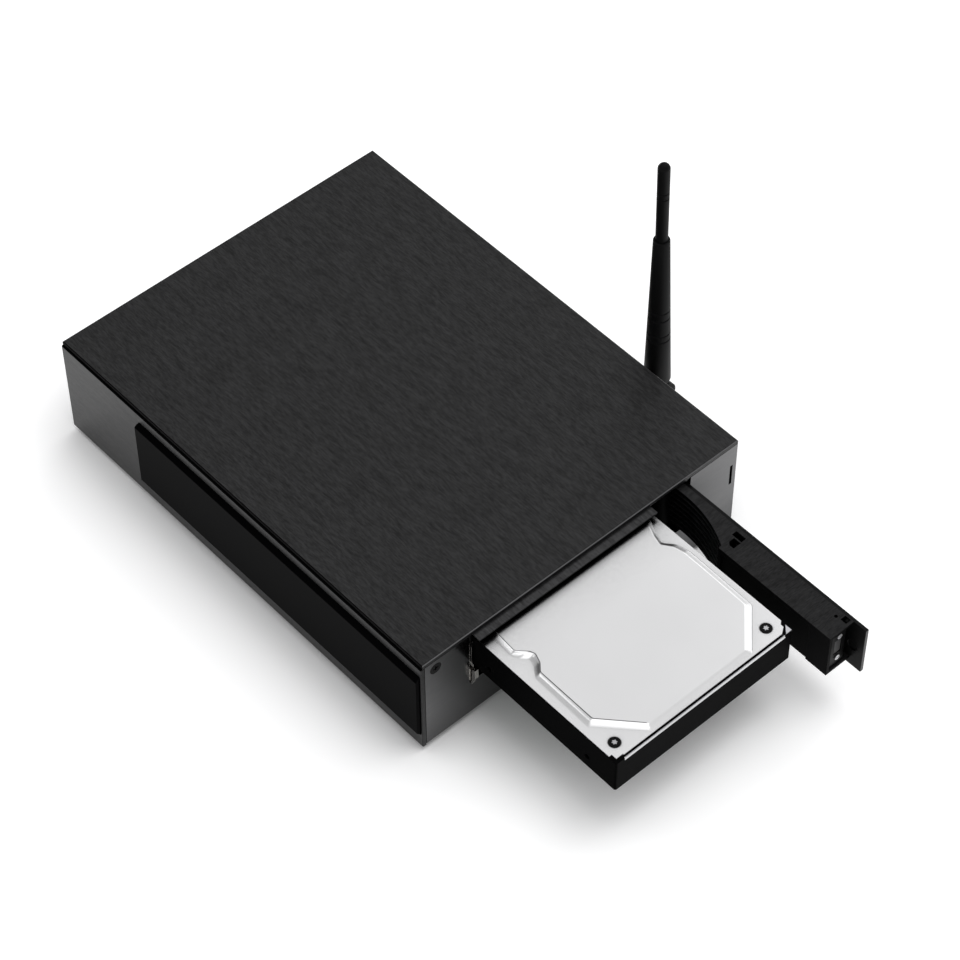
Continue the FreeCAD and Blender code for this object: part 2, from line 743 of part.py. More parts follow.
SINK_X = f"({BOARD_LEFT}+46)"
SINK_Y = f"({BOARD_REAR}-board_width*0.58)"


def heat_sink():
    """Extruded finned heat sink on the processor."""
    sink = body("heat_sink_body")
    low = f"({BOARD_TOP}+1.5)"
    foot = sketch(sink, "XY", low)
    rectangle(foot, (f"{SINK_X}-sink_side/2", f"{SINK_X}+sink_side/2"),
              (f"{SINK_Y}-sink_side/2", f"{SINK_Y}+sink_side/2"))
    pad(sink, foot, "sink_base")
    fin = sketch(sink, "XY", f"{low}+sink_base/2")
    rectangle(fin, (f"{SINK_X}-sink_pitch*4-sink_fin/2", f"{SINK_X}-sink_pitch*4+sink_fin/2"),
              (f"{SINK_Y}-sink_side/2", f"{SINK_Y}+sink_side/2"))
    first = pad(sink, fin, "sink_height-sink_base/2")
    row_of(sink, first, "X_Axis", "sink_pitch", 9)
    node("heat_sink", sink)


def rear_sockets():
    """The sockets along the rear edge of the main board."""
    face = SOCKET_FACE

    def middle(name):
        return f"({BOARD_TOP}+{SOCKET_ROW[name][2]}/2)"

    def mouth(name, half_width, low, high, depth):
        centre = SOCKET_ROW[name][0]
        return block((f"{centre}-{half_width}", f"{centre}+{half_width}"),
                     (f"{face}-{depth}", f"{face}+1"), (low, high))

    rise = middle("dc_jack")
    barrel = rod("y", "3.2", (SOCKET_ROW["dc_jack"][0], f"{face}-10", rise), "12", "dc_bore")
    pin = rod("y", "1.0", (SOCKET_ROW["dc_jack"][0], f"{face}-12", rise), "11", "dc_pin")
    node("dc_jack", joined(carved(socket_block("dc_jack"), barrel), pin, name="dc_jack_whole"))

    rise = middle("hdmi_socket")
    hollow = mouth("hdmi_socket", "7", f"{rise}-2.4", f"{rise}+2.4", "10")
    tongue = block((f"{SOCKET_ROW['hdmi_socket'][0]}-6", f"{SOCKET_ROW['hdmi_socket'][0]}+6"),
                   (f"{face}-11", f"{face}-2"), (f"{rise}-0.6", f"{rise}+0.6"), "hdmi_tongue")
    node("hdmi_socket", joined(carved(socket_block("hdmi_socket"), hollow), tongue, name="hdmi_whole"))

    port = mouth("lan_socket", "5.9", f"{BOARD_TOP}+3.6", f"{BOARD_TOP}+11.6", "14")
    key = mouth("lan_socket", "3", f"{BOARD_TOP}+2", f"{BOARD_TOP}+4", "14")
    node("lan_socket", carved(socket_block("lan_socket"), port, key, name="lan_cut"))

    ports = []
    tongues = []
    for step in range(2):
        low = f"({BOARD_TOP}+1.2+{step}*7.6)"
        ports.append(mouth("usb_sockets", "6.3", low, f"{low}+5.6", "12"))
        centre = SOCKET_ROW["usb_sockets"][0]
        tongues.append(block((f"{centre}-5.5", f"{centre}+5.5"), (f"{face}-13", f"{face}-1"),
                             (f"{low}+3", f"{low}+4.6")))
    node("usb_sockets", joined(carved(socket_block("usb_sockets"), *ports), *tongues, name="usb_whole"))

    light = mouth("optical_socket", "3.5", f"{BOARD_TOP}+1.5", f"{BOARD_TOP}+8.5", "8")
    node("optical_socket", carved(socket_block("optical_socket"), light, name="optical_cut"))

    rise = middle("coax_socket")
    centre = SOCKET_ROW["coax_socket"][0]
    collar = rod("y", "4.15", (centre, f"{face}-1", rise), "9", "coax_collar")
    bore = rod("y", "1.7", (centre, f"{face}-4", rise), "14", "coax_bore")
    node("coax_socket", carved(joined(socket_block("coax_socket"), collar), bore, name="coax_cut"))

    rise = middle("av_socket")
    centre = SOCKET_ROW["av_socket"][0]
    collar = rod("y", "3", (centre, f"{face}-1", rise), "2.2", "av_collar")
    bore = rod("y", "1.8", (centre, f"{face}-11", rise), "14", "av_bore")
    node("av_socket", carved(joined(socket_block("av_socket"), collar), bore, name="av_cut"))


def power_switch():
    """Rocker switch snapped into the rear panel; the rocker turns about a vertical axle."""
    half = "switch_length/2"
    tall = "switch_height/2"
    bezel = block((f"{SWITCH_X}-{half}", f"{SWITCH_X}+{half}"), (REAR, f"{REAR}+1.6"),
                  (f"{SWITCH_RISE}-{tall}", f"{SWITCH_RISE}+{tall}"), "bezel")
    barrel = block((f"{SWITCH_X}-{half}+1.8", f"{SWITCH_X}+{half}-1.8"), (f"{REAR}-14", f"{REAR}+1"),
                   (f"{SWITCH_RISE}-{tall}+1.8", f"{SWITCH_RISE}+{tall}-1.8"), "switch_barrel")
    well = block((f"{SWITCH_X}-rocker_length/2-0.5", f"{SWITCH_X}+rocker_length/2+0.5"),
                 (f"{REAR}-8", f"{REAR}+2"),
                 (f"{SWITCH_RISE}-rocker_height/2-0.2", f"{SWITCH_RISE}+rocker_height/2+0.2"),
                 "switch_well")
    bezel_soft = rounded(bezel, 1.0,
                         lambda edge: edge.BoundBox.XLength < 0.001 and edge.BoundBox.ZLength < 0.001)
    shaft = rod("z", "1.2+running_gap", (SWITCH_X, ROCKER_Y, f"{SWITCH_RISE}-switch_height/2+2.1"),
                "switch_height-4.2", "switch_shaft")
    housing = carved(joined(bezel_soft, barrel), well, shaft, name="switch_housing_cut")
    node("switch_housing", housing)
    rocker = body("power_rocker_body")
    outline = sketch(rocker, "XY", "-rocker_height/2")
    polygon(outline, [("-rocker_length/2", "-2"), ("rocker_length/2", "-2"), ("rocker_length/2", "4.2"),
                      ("0", "3"), ("-rocker_length/2", "4.2")])
    pad(rocker, outline, "rocker_height")
    axle = sketch(rocker, "XY", "-rocker_height/2-0.6")
    circle(axle, ("0", "0"), "1.2")
    pad(rocker, axle, "rocker_height+1.2")
    rocker.Placement.Rotation = FreeCAD.Rotation(FreeCAD.Vector(0, 0, 1), 0)
    bind(rocker, "Placement.Rotation.Angle", "rocker_tilt")
    for place, value in zip("xyz", (SWITCH_X, ROCKER_Y, SWITCH_RISE)):
        bind(rocker, f"Placement.Base.{place}", value)
    node("power_rocker", rocker)


ROCKER_Y = f"({REAR}-1.4)"


# ---------------------------------------------------------------- drive bay

CAGE_IN_NEAR = f"({BAY_NEAR}-bay_gap)"
CAGE_IN_FAR = f"({BAY_FAR}+bay_gap)"
CAGE_END = f"({HINGE_X}-door_depth+hinge_inset-bay_gap)"
CAGE_ROOT = f"({HOME_ROOT}-6)"
JAMB_X = f"({RIGHT}-sheet)"


def drive_cage():
    """Folded cage on four legs: floor, two walls, the backplane wall and foot tabs."""
    low = f"({CAGE_FLOOR}-cage_sheet)"
    near_out = f"({CAGE_IN_NEAR}-cage_sheet)"
    far_out = f"({CAGE_IN_FAR}+cage_sheet)"
    floor = block((CAGE_ROOT, CAGE_END), (near_out, far_out), (low, CAGE_FLOOR), "cage_floor")
    near = block((CAGE_ROOT, JAMB_X), (near_out, CAGE_IN_NEAR), (low, LIP_FLOOR), "cage_near")
    far = block((CAGE_ROOT, CAGE_END), (CAGE_IN_FAR, far_out), (low, LIP_FLOOR), "cage_far")
    parts = [floor, near, far]
    for left in (f"{CAGE_ROOT}+2", f"{CAGE_END}-leg_width-2"):
        parts.append(block((left, f"{left}+leg_width"), (near_out, CAGE_IN_NEAR), (FLOOR, CAGE_FLOOR),
                           "leg"))
        parts.append(block((left, f"{left}+leg_width"), (f"{near_out}-8", CAGE_IN_NEAR),
                           (FLOOR, f"{FLOOR}+cage_sheet"), "foot_tab"))
    for left in ("44", f"{CAGE_END}-leg_width-2"):
        parts.append(block((left, f"{left}+leg_width"), (CAGE_IN_FAR, far_out), (FLOOR, CAGE_FLOOR), "leg"))
        parts.append(block((left, f"{left}+leg_width"), (CAGE_IN_FAR, f"{far_out}+8"),
                           (FLOOR, f"{FLOOR}+cage_sheet"), "foot_tab"))
    window = block((f"{CAGE_ROOT}+24", f"{CAGE_END}-22"), (f"{BAY_NEAR}+16", f"{BAY_FAR}-16"),
                   (f"{low}-1", f"{CAGE_FLOOR}+1"), "cage_window")
    node("drive_cage", carved(joined(*parts), window, name="drive_cage_cut"))
    screws = []
    for left, along in ((f"{CAGE_ROOT}+2", f"{near_out}-4.5"),
                        (f"{CAGE_END}-leg_width-2", f"{near_out}-4.5"),
                        ("44", f"{far_out}+4.5"), (f"{CAGE_END}-leg_width-2", f"{far_out}+4.5")):
        screws.append(prism(6, "z", "3.1", (f"{left}+leg_width/2", along, f"{FLOOR}+cage_sheet"), "1.6",
                            "cage_screw"))
    node("cage_screws", joined(*screws, name="cage_screws_group"))


def bay_lip():
    """Brushed top plate of the bay; its outer edge stands proud over the drive."""
    lip = body("bay_lip_body")
    plate = sketch(lip, "XY", LIP_FLOOR)
    near_out = f"({CAGE_IN_NEAR}-cage_sheet)"
    far_out = f"({CAGE_IN_FAR}+cage_sheet)"
    shoulder = f"({CAGE_END})"
    lip_end = f"({RIGHT}+lip_reach)"
    lip_near = f"({CAGE_IN_NEAR}-cage_sheet/2)"
    polygon(plate, [("10", near_out), (shoulder, near_out), (shoulder, lip_near), (lip_end, lip_near),
                    (lip_end, BAY_FAR), (shoulder, BAY_FAR), (shoulder, far_out), ("10", far_out)])
    pad(lip, plate, "lip_thickness-0.1")
    node("bay_lip", lip)


def bay_striker():
    """Metal keeper on the front jamb of the bay, with its hook below the drive."""
    near_out = f"({CAGE_IN_NEAR}-cage_sheet)"
    outer = f"({JAMB_X}+0.8)"
    face = block((JAMB_X, outer), (f"{near_out}-1", f"{CAGE_IN_NEAR}+0.3"),
                 (f"{PLATE_BASE}-0.5", f"{DECK}-6"), "keeper")
    slots = []
    for step in range(2):
        low = f"({near_out}-0.5+{step}*1.2)"
        slots.append(block((f"{JAMB_X}-1", f"{outer}+1"), (low, f"{low}+0.6"),
                           (f"{CAGE_FLOOR}+1", f"{DECK}-9")))
    strap = block((f"{JAMB_X}-12", outer), (f"{near_out}-0.8", near_out),
                  (f"{PLATE_BASE}-0.5", f"{DECK}-6"), "strap")
    hook = body("striker_hook_body")
    wedge = sketch(hook, "XZ", f"{near_out}-0.8")
    low = f"({PLATE_BASE}-0.5)"
    tip_x = f"({RIGHT}+seam)"
    polygon(wedge, [(JAMB_X, f"{low}+0.3"), (tip_x, f"{low}+0.3"), (tip_x, f"{low}-2"),
                    (f"{RIGHT}+3.2", f"{low}+5"),
                    (f"{RIGHT}+2.9", f"{low}+9.8"), (JAMB_X, f"{low}+8")])
    pad(hook, wedge, "1.8", reverse=True)
    node("bay_striker", joined(carved(face, *slots), strap, hook, name="bay_striker_whole"))


def sata_backplane():
    """Upright board at the inner end of the bay with the socket the drive plugs into."""
    board_face = f"({HOME_ROOT}-4)"
    centre = "(bay_centre-plug_offset)"
    board = block((f"{board_face}-board_thickness", board_face), (f"{BAY_NEAR}+6", f"{BAY_FAR}-6"),
                  (f"{CAGE_FLOOR}", f"{LIP_FLOOR}-1"), "sata_board_blank")
    node("sata_board", board)
    half = "(plug_width/2+0.6)"
    shell = block((board_face, f"{HOME_ROOT}+plug_depth-0.4"), (f"{centre}-{half}", f"{centre}+{half}"),
                  (f"{TONGUE_LOW}-1.6", f"{TONGUE_LOW}+plug_tongue+1.8"), "sata_shell")
    slot = block((f"{HOME_ROOT}-0.8", f"{HOME_ROOT}+plug_depth+1"),
                 (f"{centre}-plug_width/2+0.8", f"{centre}+plug_width/2-0.8"),
                 (f"{TONGUE_LOW}-0.25", f"{TONGUE_LOW}+plug_tongue+0.25"), "sata_slot")
    node("sata_socket", carved(shell, slot, name="sata_socket_cut"))


TONGUE_LOW = f"({DRIVE_BASE}+4.6)"


# ---------------------------------------------------------------- hard drive

def drive_casting():
    """Die-cast base of the hard drive: rounded block with its cavity, holes and plug bay."""
    cast = body("drive_casting_body")
    outline = sketch(cast, "XY", DRIVE_BASE)
    rectangle(outline, (DRIVE_ROOT, DRIVE_END), (BAY_NEAR, BAY_FAR))
    pad(cast, outline, span(DRIVE_BASE, CASTING_TOP))
    softened(cast, "Fillet", "casting_corner", upright)
    bevel = sketch(cast, "XZ", f"{BAY_NEAR}+4.8")
    polygon(bevel, [(f"{DRIVE_END}-0.6", f"{CASTING_TOP}+0.2*casting_bevel"),
                    (f"{DRIVE_END}+0.1", f"{CASTING_TOP}-1.2*casting_bevel"),
                    (f"{DRIVE_END}+1", f"{CASTING_TOP}-1.2*casting_bevel"),
                    (f"{DRIVE_END}+1", f"{CASTING_TOP}+0.2*casting_bevel")])
    pocket(cast, bevel, "drive_width-9")
    well = sketch(cast, "XY", CASTING_TOP)
    circle(well, (PLATTER_X, PLATTER_Y), f"{PLATTER_RADIUS}+platter_room")
    pocket(cast, well, "cavity_depth")
    cavity = sketch(cast, "XY", CASTING_TOP)
    rectangle(cavity, (f"{DRIVE_ROOT}+12", PLATTER_X),
              (f"{BAY_NEAR}+casting_wall", f"{BAY_FAR}-casting_wall"))
    pocket(cast, cavity, "cavity_depth")
    spindle = sketch(cast, "XY", CAVITY_FLOOR)
    circle(spindle, (PLATTER_X, PLATTER_Y), "post_radius")
    pad(cast, spindle, "platter_lift")
    pivot = sketch(cast, "XY", CAVITY_FLOOR)
    circle(pivot, (ARM_X, ARM_Y), "post_radius")
    pad(cast, pivot, "cavity_depth-2")
    tray = sketch(cast, "XY", DRIVE_BASE)
    rectangle(tray, (f"{DRIVE_ROOT}+5", f"{DRIVE_ROOT}+5+{PCB_LENGTH}"), (f"{BAY_NEAR}+5", f"{BAY_FAR}-5"))
    pocket(cast, tray, "2.6", reverse=True)
    plug = sketch(cast, "YZ", DRIVE_ROOT)
    centre = "(bay_centre-plug_offset)"
    rectangle(plug, (f"{centre}-plug_width/2-1.4", f"{centre}+plug_width/2+1.4"),
              (f"{DRIVE_BASE}-1", f"{DRIVE_BASE}+9"))
    pocket(cast, plug, "plug_depth+4", reverse=True)
    holes = sketch(cast, "XZ", f"{BAY_NEAR}-1")
    for place in ("16.9", "76.9", "118.5"):
        circle(holes, (f"{DRIVE_END}-{place}", f"{DRIVE_BASE}+side_hole_rise"), "side_hole_radius")
    pocket(cast, holes, "5")
    holes = sketch(cast, "XZ", f"{BAY_FAR}+1")
    for place in ("16.9", "76.9", "118.5"):
        circle(holes, (f"{DRIVE_END}-{place}", f"{DRIVE_BASE}+side_hole_rise"), "side_hole_radius")
    pocket(cast, holes, "5", reverse=True)
    node("drive_casting", cast)


PCB_LENGTH = "96"
CAVITY_FLOOR = f"({CASTING_TOP}-cavity_depth)"
PLATTER_X = f"({DRIVE_END}-drive_width/2-0.2)"
PLATTER_RADIUS = "(drive_width/2-casting_skin-platter_room)"
PLATTER_Y = "bay_centre"
ARM_X = f"({DRIVE_END}-arm_inset)"
ARM_Y = f"({BAY_FAR}-arm_offset)"


def drive_works():
    """What turns inside the drive: platter on its hub, and the head arm with its magnets."""
    centre = (PLATTER_X, PLATTER_Y)

    def disc(radius, low, high, name):
        return rod("z", radius, centre + (f"{CAVITY_FLOOR}+{low}",), span(low, high), name)

    seat = "(platter_lift)"
    clamp = "(platter_lift+platter_thickness)"
    bore = disc("post_radius+running_gap", "-1", "9", "hub_bore")
    hub = joined(disc("hub_radius+3", "0.4", seat, "hub_flange"),
                 disc("hub_radius", "0.4", clamp, "hub_drum"),
                 name="hub_blank")
    node("spindle_hub", carved(hub, bore, name="spindle_hub_cut"))
    platter = disc(PLATTER_RADIUS, seat, clamp, "platter_disc")
    node("drive_platter", carved(platter, disc("hub_radius", "0", "9", "platter_bore"),
                                 name="drive_platter_cut"))
    node("platter_clamp", disc("hub_radius+3.4", clamp, f"{clamp}+1.2", "clamp_disc"))
    arm = body("head_arm_body")
    for low, thick, outline in (
        ("0.5", "5.8", None),
        ("1.1", "0.8", [("0", "-4.5"), ("arm_length-8", "-1.6"), ("arm_length-8", "1.6"), ("0", "4.5")]),
        (f"{clamp}+0.7", "0.8",
         [("0", "-4.5"), ("arm_length-8", "-1.6"), ("arm_length-8", "1.6"), ("0", "4.5")]),
        (f"{seat}-0.55", "0.4", [("arm_length-14", "-1.2"), ("arm_length", "-0.9"), ("arm_length", "0.9"),
                                 ("arm_length-14", "1.2")]),
        (f"{clamp}+0.15", "0.6", [("arm_length-14", "-1.2"), ("arm_length", "-0.9"), ("arm_length", "0.9"),
                                  ("arm_length-14", "1.2")]),
        ("2.8", "1.2", [("-24", "-7"), ("0", "-4"), ("0", "4"), ("-24", "7")]),
    ):
        layer = sketch(arm, "XY", low)
        if outline:
            polygon(layer, outline)
        else:
            circle(layer, ("0", "0"), "6")
        pad(arm, layer, thick)
    eye = sketch(arm, "XY", "9")
    circle(eye, ("0", "0"), "post_radius+running_gap")
    pocket(arm, eye, "12")
    window = sketch(arm, "XY", "9")
    polygon(window, [("-21", "-3.4"), ("-10", "-2.4"), ("-10", "2.4"), ("-21", "3.4")])
    pocket(arm, window, "12")
    node("head_arm", at_arm(arm))
    plates = []
    for low, high in (("0", "1.8"), ("5.2", "7")):
        plates.append(block(("-27", "-11"), ("-14.6", "14.6"), (low, high), "magnet_plate"))
    for side in ("-16.6", "14.6"):
        plates.append(block(("-27", "-19"), (side, f"{side}+2"), ("0", "7"), "magnet_post"))
    node("coil_magnets", at_arm(joined(*plates, name="coil_magnets_group")))


def at_arm(thing):
    """Moves a piece made about the head arm's pivot to its place in the casting."""
    thing.Placement.Rotation = FreeCAD.Rotation(FreeCAD.Vector(0, 0, 1), 1)
    bind(thing, "Placement.Rotation.Angle", "arm_angle")
    for place, value in zip("xyz", (ARM_X, ARM_Y, CAVITY_FLOOR)):
        bind(thing, f"Placement.Base.{place}", value)
    return thing


def drive_lid():
    """Stamped lid: a flat flange with notched and clipped corners and a raised, bevelled plateau."""
    lid = body("drive_lid_body")
    end = f"({DRIVE_END}-lid_margin)"
    root = f"({DRIVE_ROOT}+lid_margin)"
    near = f"({BAY_NEAR}+lid_margin/2)"
    far = f"({BAY_FAR}-lid_margin/2)"
    flange = sketch(lid, "XY", CASTING_TOP)
    polygon(flange, [
        (f"{root}+lid_corner", near), (f"{end}-4", near), (f"{end}-4", f"{near}+1.4"),
        (f"{end}-0.6", f"{near}+1.4"),
        (f"{end}-0.6", f"{near}+5"), (end, f"{near}+5"),
        (end, f"{far}-4.8"), (f"{end}-3", f"{far}-1.6"), (f"{end}-4.6", f"{far}-1.6"), (f"{end}-6", far),
        (f"{root}+lid_corner", far), (root, f"{far}-lid_corner"), (root, f"{near}+lid_corner"),
    ])
    pad(lid, flange, "lid_flange")
    plateau = sketch(lid, "XY", LID_FLANGE_TOP)
    places = [(f"{DRIVE_END}-{inward}", f"{BAY_NEAR}+{across}") for inward, across in PLATEAU_NEAR]
    places += [(f"{DRIVE_END}-{inward}", f"{BAY_FAR}-{across}") for inward, across in PLATEAU_FAR]
    polygon(plateau, places)
    pad(lid, plateau, "lid_rise", taper_angle=-66)
    for inward, across in DRIVE_SCREWS:
        seat = sketch(lid, "XY", LID_FLANGE_TOP)
        circle(seat, (inward, across), "drive_screw_radius+0.25")
        pocket(lid, seat, "0.3")
    node("drive_lid", lid)


# Foot of the plateau's bevel: (in from the outer end, in from the near side), then in from the far side.
PLATEAU_NEAR = [
    (3.6, 25.6), (22.8, 5.2), (54.4, 4.4), (58.6, 10.2), (63.0, 11.4), (68.6, 3.2), (80.6, 5.2),
    (128.0, 5.2),
    (141.0, 20.0),
]
PLATEAU_FAR = [(141.0, 19.6), (128.0, 4.0), (81.6, 3.0), (70.2, 6.6), (62.6, 2.2), (20.8, 3.0), (3.2, 21.2)]
DRIVE_SCREWS = [
    (f"{DRIVE_END}-drive_screw_inset-0.3", f"{BAY_NEAR}+drive_screw_inset-1.2"),
    (f"{DRIVE_END}-drive_screw_inset", f"{BAY_FAR}-drive_screw_inset"),
    (f"{DRIVE_ROOT}+drive_screw_inset-1", f"{BAY_NEAR}+drive_screw_inset"),
    (f"{DRIVE_ROOT}+drive_screw_inset-1", f"{BAY_FAR}-drive_screw_inset"),
]


def drive_screws():
    """The lid's screws, each with a round head in a shallow seat."""
    screws = []
    for across, along in DRIVE_SCREWS:
        head = prism(20, "z", "drive_screw_radius", (across, along, f"{LID_FLANGE_TOP}-0.3"), "0.7",
                     "lid_screw")
        hex_socket = prism(6, "z", "1.0", (across, along, f"{LID_FLANGE_TOP}"), "1", "lid_screw_socket")
        screws.append(carved(head, hex_socket, name="lid_screw_cut"))
    node("lid_screws", joined(*screws, name="lid_screws_group"))


def drive_electronics():
    """Circuit board under the casting and the plug at its inner end."""
    board = block((f"{DRIVE_ROOT}+5.4", f"{DRIVE_ROOT}+4.6+{PCB_LENGTH}"),
                  (f"{BAY_NEAR}+5.4", f"{BAY_FAR}-5.4"),
                  (f"{DRIVE_BASE}+0.6", f"{DRIVE_BASE}+2.2"), "drive_board_blank")
    centre = "(bay_centre-plug_offset)"
    opening = block((f"{DRIVE_ROOT}+5", f"{DRIVE_ROOT}+plug_depth+4"),
                    (f"{centre}-plug_width/2-1.4", f"{centre}+plug_width/2+1.4"),
                    (f"{DRIVE_BASE}", f"{DRIVE_BASE}+3"), "drive_board_notch")
    node("drive_board", carved(board, opening, name="drive_board_cut"))
    stem = block((f"{DRIVE_ROOT}+plug_depth", f"{DRIVE_ROOT}+plug_depth+3.7"),
                 (f"{centre}-plug_width/2", f"{centre}+plug_width/2"),
                 (f"{DRIVE_BASE}+0.6", f"{DRIVE_BASE}+8.6"), "plug_stem")
    tongue = block((DRIVE_ROOT, f"{DRIVE_ROOT}+plug_depth+1"),
                   (f"{centre}-plug_width/2+1.2", f"{centre}+plug_width/2-1.2"),
                   (TONGUE_LOW, f"{TONGUE_LOW}+plug_tongue"), "plug_tongue_bar")
    node("drive_plug", joined(stem, tongue, name="drive_plug_whole"))


# ---------------------------------------------------------------- bay door

def door_frame():
    """Channel-shaped door moulding with the ribbed, curved heel beside its hinge."""
    outer = block((HINGE_X, DOOR_END), (DOOR_IN, DOOR_BACK), (DOOR_BASE, DOOR_TOP), "door_block")
    heel_x = f"({HINGE_X}+heel_start)"
    heel_y = f"({DOOR_BACK}-arm_thickness-heel_radius)"
    sweep = rod("z", "heel_radius", (heel_x, heel_y, f"{DOOR_BASE}-1"), "door_height+2", "heel_sweep")
    grooves = []
    for step in range(7):
        low = f"({DOOR_TOP}-rib_groove-1.7-{step}*rib_pitch)"
        grooves.append(rod("z", "heel_radius+rib_depth", (heel_x, heel_y, low), "rib_groove", "rib_gap"))
    box_side = block((f"{HINGE_X}+box_start", f"{heel_x}+heel_radius+rib_depth+2"),
                     (f"{heel_y}-heel_radius-rib_depth-2", f"{heel_y}+heel_radius+rib_depth+2"),
                     (f"{DOOR_BASE}-2", f"{DOOR_TOP}+2"), "box_side")
    heel = carved(joined(sweep, *grooves, name="heel_tools"), box_side, name="heel")
    cavity = block((f"{HINGE_X}+box_start+1.9", f"{DOOR_END}+1"),
                   (f"{DOOR_IN}+door_wall", f"{DOOR_BACK}+1"),
                   (f"{DOOR_BASE}+door_wall", f"{DOOR_TOP}-door_wall"), "door_cavity")
    relief = block((f"{HINGE_X}+box_start+1.5", f"{DOOR_END}-12"), (f"{DOOR_IN}-1", f"{DOOR_IN}+0.6"),
                   (f"{DOOR_BASE}-1", f"{DOOR_TOP}-2.5"), "door_relief")
    top_low = f"({DOOR_TOP}-door_wall-1)"
    well_low = f"({DOOR_TOP}-8)"
    above = f"({DOOR_TOP}+1)"
    window_far = block((f"{HINGE_X}+box_start-1.3", f"{HINGE_X}+box_start+4.4"),
                       (f"{HINGE_Y}+2.2", f"{HINGE_Y}+5"),
                       (well_low, above), "window_far")
    window_near = body("window_near_body")
    corners = sketch(window_near, "XY", well_low)
    left = f"({HINGE_X}+box_start+0.7)"
    right = f"({HINGE_X}+box_start+4.6)"
    polygon(corners, [(left, f"{HINGE_Y}-1.4"), (f"{left}+1.4", f"{HINGE_Y}-2.7"),
                      (right, f"{HINGE_Y}-2.7"),
                      (right, f"{HINGE_Y}+1.5"), (left, f"{HINGE_Y}+1.5")])
    pad(window_near, corners, span(well_low, above))
    pin_hole = rod("z", "0.8", (f"{HINGE_X}+101.8", f"{HINGE_Y}+3.4", top_low), "door_wall+3", "pin_hole")
    latch_slot = block((f"{DOOR_END}-4.6", f"{DOOR_END}-1.4"), (f"{HINGE_Y}+3.6", f"{HINGE_Y}+6.6"),
                       (top_low, above))
    shell = carved(outer, heel, cavity, relief, window_far, window_near, pin_hole, latch_slot,
                   name="door_shell")
    knuckle = rod("z", "knuckle_radius", (HINGE_X, HINGE_Y, DOOR_BASE), "door_height", "knuckle")
    web = block((f"{HINGE_X}-knuckle_radius", f"{HINGE_X}+knuckle_radius"), (HINGE_Y, DOOR_BACK),
                (DOOR_BASE, DOOR_TOP), "web")
    bore = rod("z", "hinge_pin_radius+running_gap", (HINGE_X, HINGE_Y, f"{DOOR_BASE}-1"), "door_height+2",
               "bore")
    node("door_frame", carved(joined(shell, knuckle, web), bore, name="door_frame_whole"))


def door_plate():
    """Aluminium outer face of the door; it overhangs the frame at the latch end."""
    plate = body("door_plate_body")
    outline = sketch(plate, "XZ", DOOR_BACK)
    rectangle(outline, (f"{HINGE_X}-plate_tail", f"{HINGE_X}+door_reach"), (PLATE_BASE, DOOR_TOP))
    pad(plate, outline, "plate_thickness", reverse=True)
    softened(plate, "Chamfer", "0.3", lambda edge: edge.BoundBox.YLength > 1)
    dimple = sketch(plate, "XZ", DOOR_BACK)
    circle(dimple, (f"{DOOR_END}+0.9", f"{DOOR_BASE}+door_height*0.39"), "2.8")
    pocket(plate, dimple, "0.5")
    node("door_plate", plate)


def door_latch():
    """Latch box in the open end of the door with its release tab, its screws, and the sprung catch."""
    inner = f"({DOOR_IN}+door_wall+latch_gap)"
    outer = f"({DOOR_BACK}-3.4)"
    low = f"({DOOR_BASE}+door_wall+0.2)"
    high = f"({DOOR_TOP}-door_wall-0.2)"
    face = f"({DOOR_END}-0.8)"
    back = f"({face}-latch_depth)"
    box = block((back, face), (inner, outer), (low, high), "latch_blank")
    hollow = block((f"{back}-1", f"{face}-latch_sheet"), (f"{inner}+latch_sheet", f"{outer}-latch_sheet"),
                   (f"{low}+latch_sheet", f"{high}-latch_sheet"), "latch_hollow")
    middle_y = f"(({inner}+{outer})/2)"
    middle_z = f"(({low}+{high})/2+1.5)"
    window = block((f"{face}-latch_sheet-1", f"{face}+1"),
                   (f"{middle_y}-bolt_width/2-0.15", f"{middle_y}+bolt_width/2+0.15"),
                   (f"{middle_z}-bolt_height/2-0.15", f"{middle_z}+bolt_height/2+0.15"), "latch_window")
    across = (f"{DOOR_END}-3.0", f"{DOOR_END}-1.8")
    arm = block(across, (f"{outer}-0.4", f"{HINGE_Y}+6.2"), (f"{high}-3", f"{high}-1.6"), "latch_arm")
    tab = block(across, (f"{HINGE_Y}+4.6", f"{HINGE_Y}+6.2"), (f"{high}-3", f"{DOOR_TOP}-0.2"), "latch_tab")
    node("latch_frame", joined(carved(box, hollow, window), arm, tab, name="latch_frame_whole"))
    screws = []
    for height in (f"{middle_z}-7.2", f"{middle_z}+7.2"):
        head = prism(12, "x", "1.4", (face, middle_y, height), "0.6", "latch_screw_head")
        slit = block((f"{face}+0.3", f"{face}+1"), (f"{middle_y}-1.0", f"{middle_y}+1.0"),
                     (f"{height}-0.2", f"{height}+0.2"), "latch_screw_slit")
        screws.append(carved(head, slit, name="latch_screw"))
    node("latch_screws", joined(*screws, name="latch_screws_group"))
    bolt = body("latch_bolt_body")
    outline = sketch(bolt, "XY", f"{middle_z}-bolt_height/2")
    tip = f"({face}-0.3)"
    tail = f"({tip}-bolt_length)"
    near = f"({middle_y}-bolt_width/2)"
    far = f"({middle_y}+bolt_width/2)"
    shoulder = f"({face}-latch_sheet-0.2)"
    polygon(outline, [(tail, f"{near}-1.1"), (shoulder, f"{near}-1.1"), (shoulder, near),
                      (f"{tip}-0.3", near),
                      (tip, f"{near}+0.5"), (tip, far), (shoulder, far), (shoulder, f"{far}+1.1"),
                      (tail, f"{far}+1.1")])
    pad(bolt, outline, "bolt_height")
    node("latch_bolt", bolt)


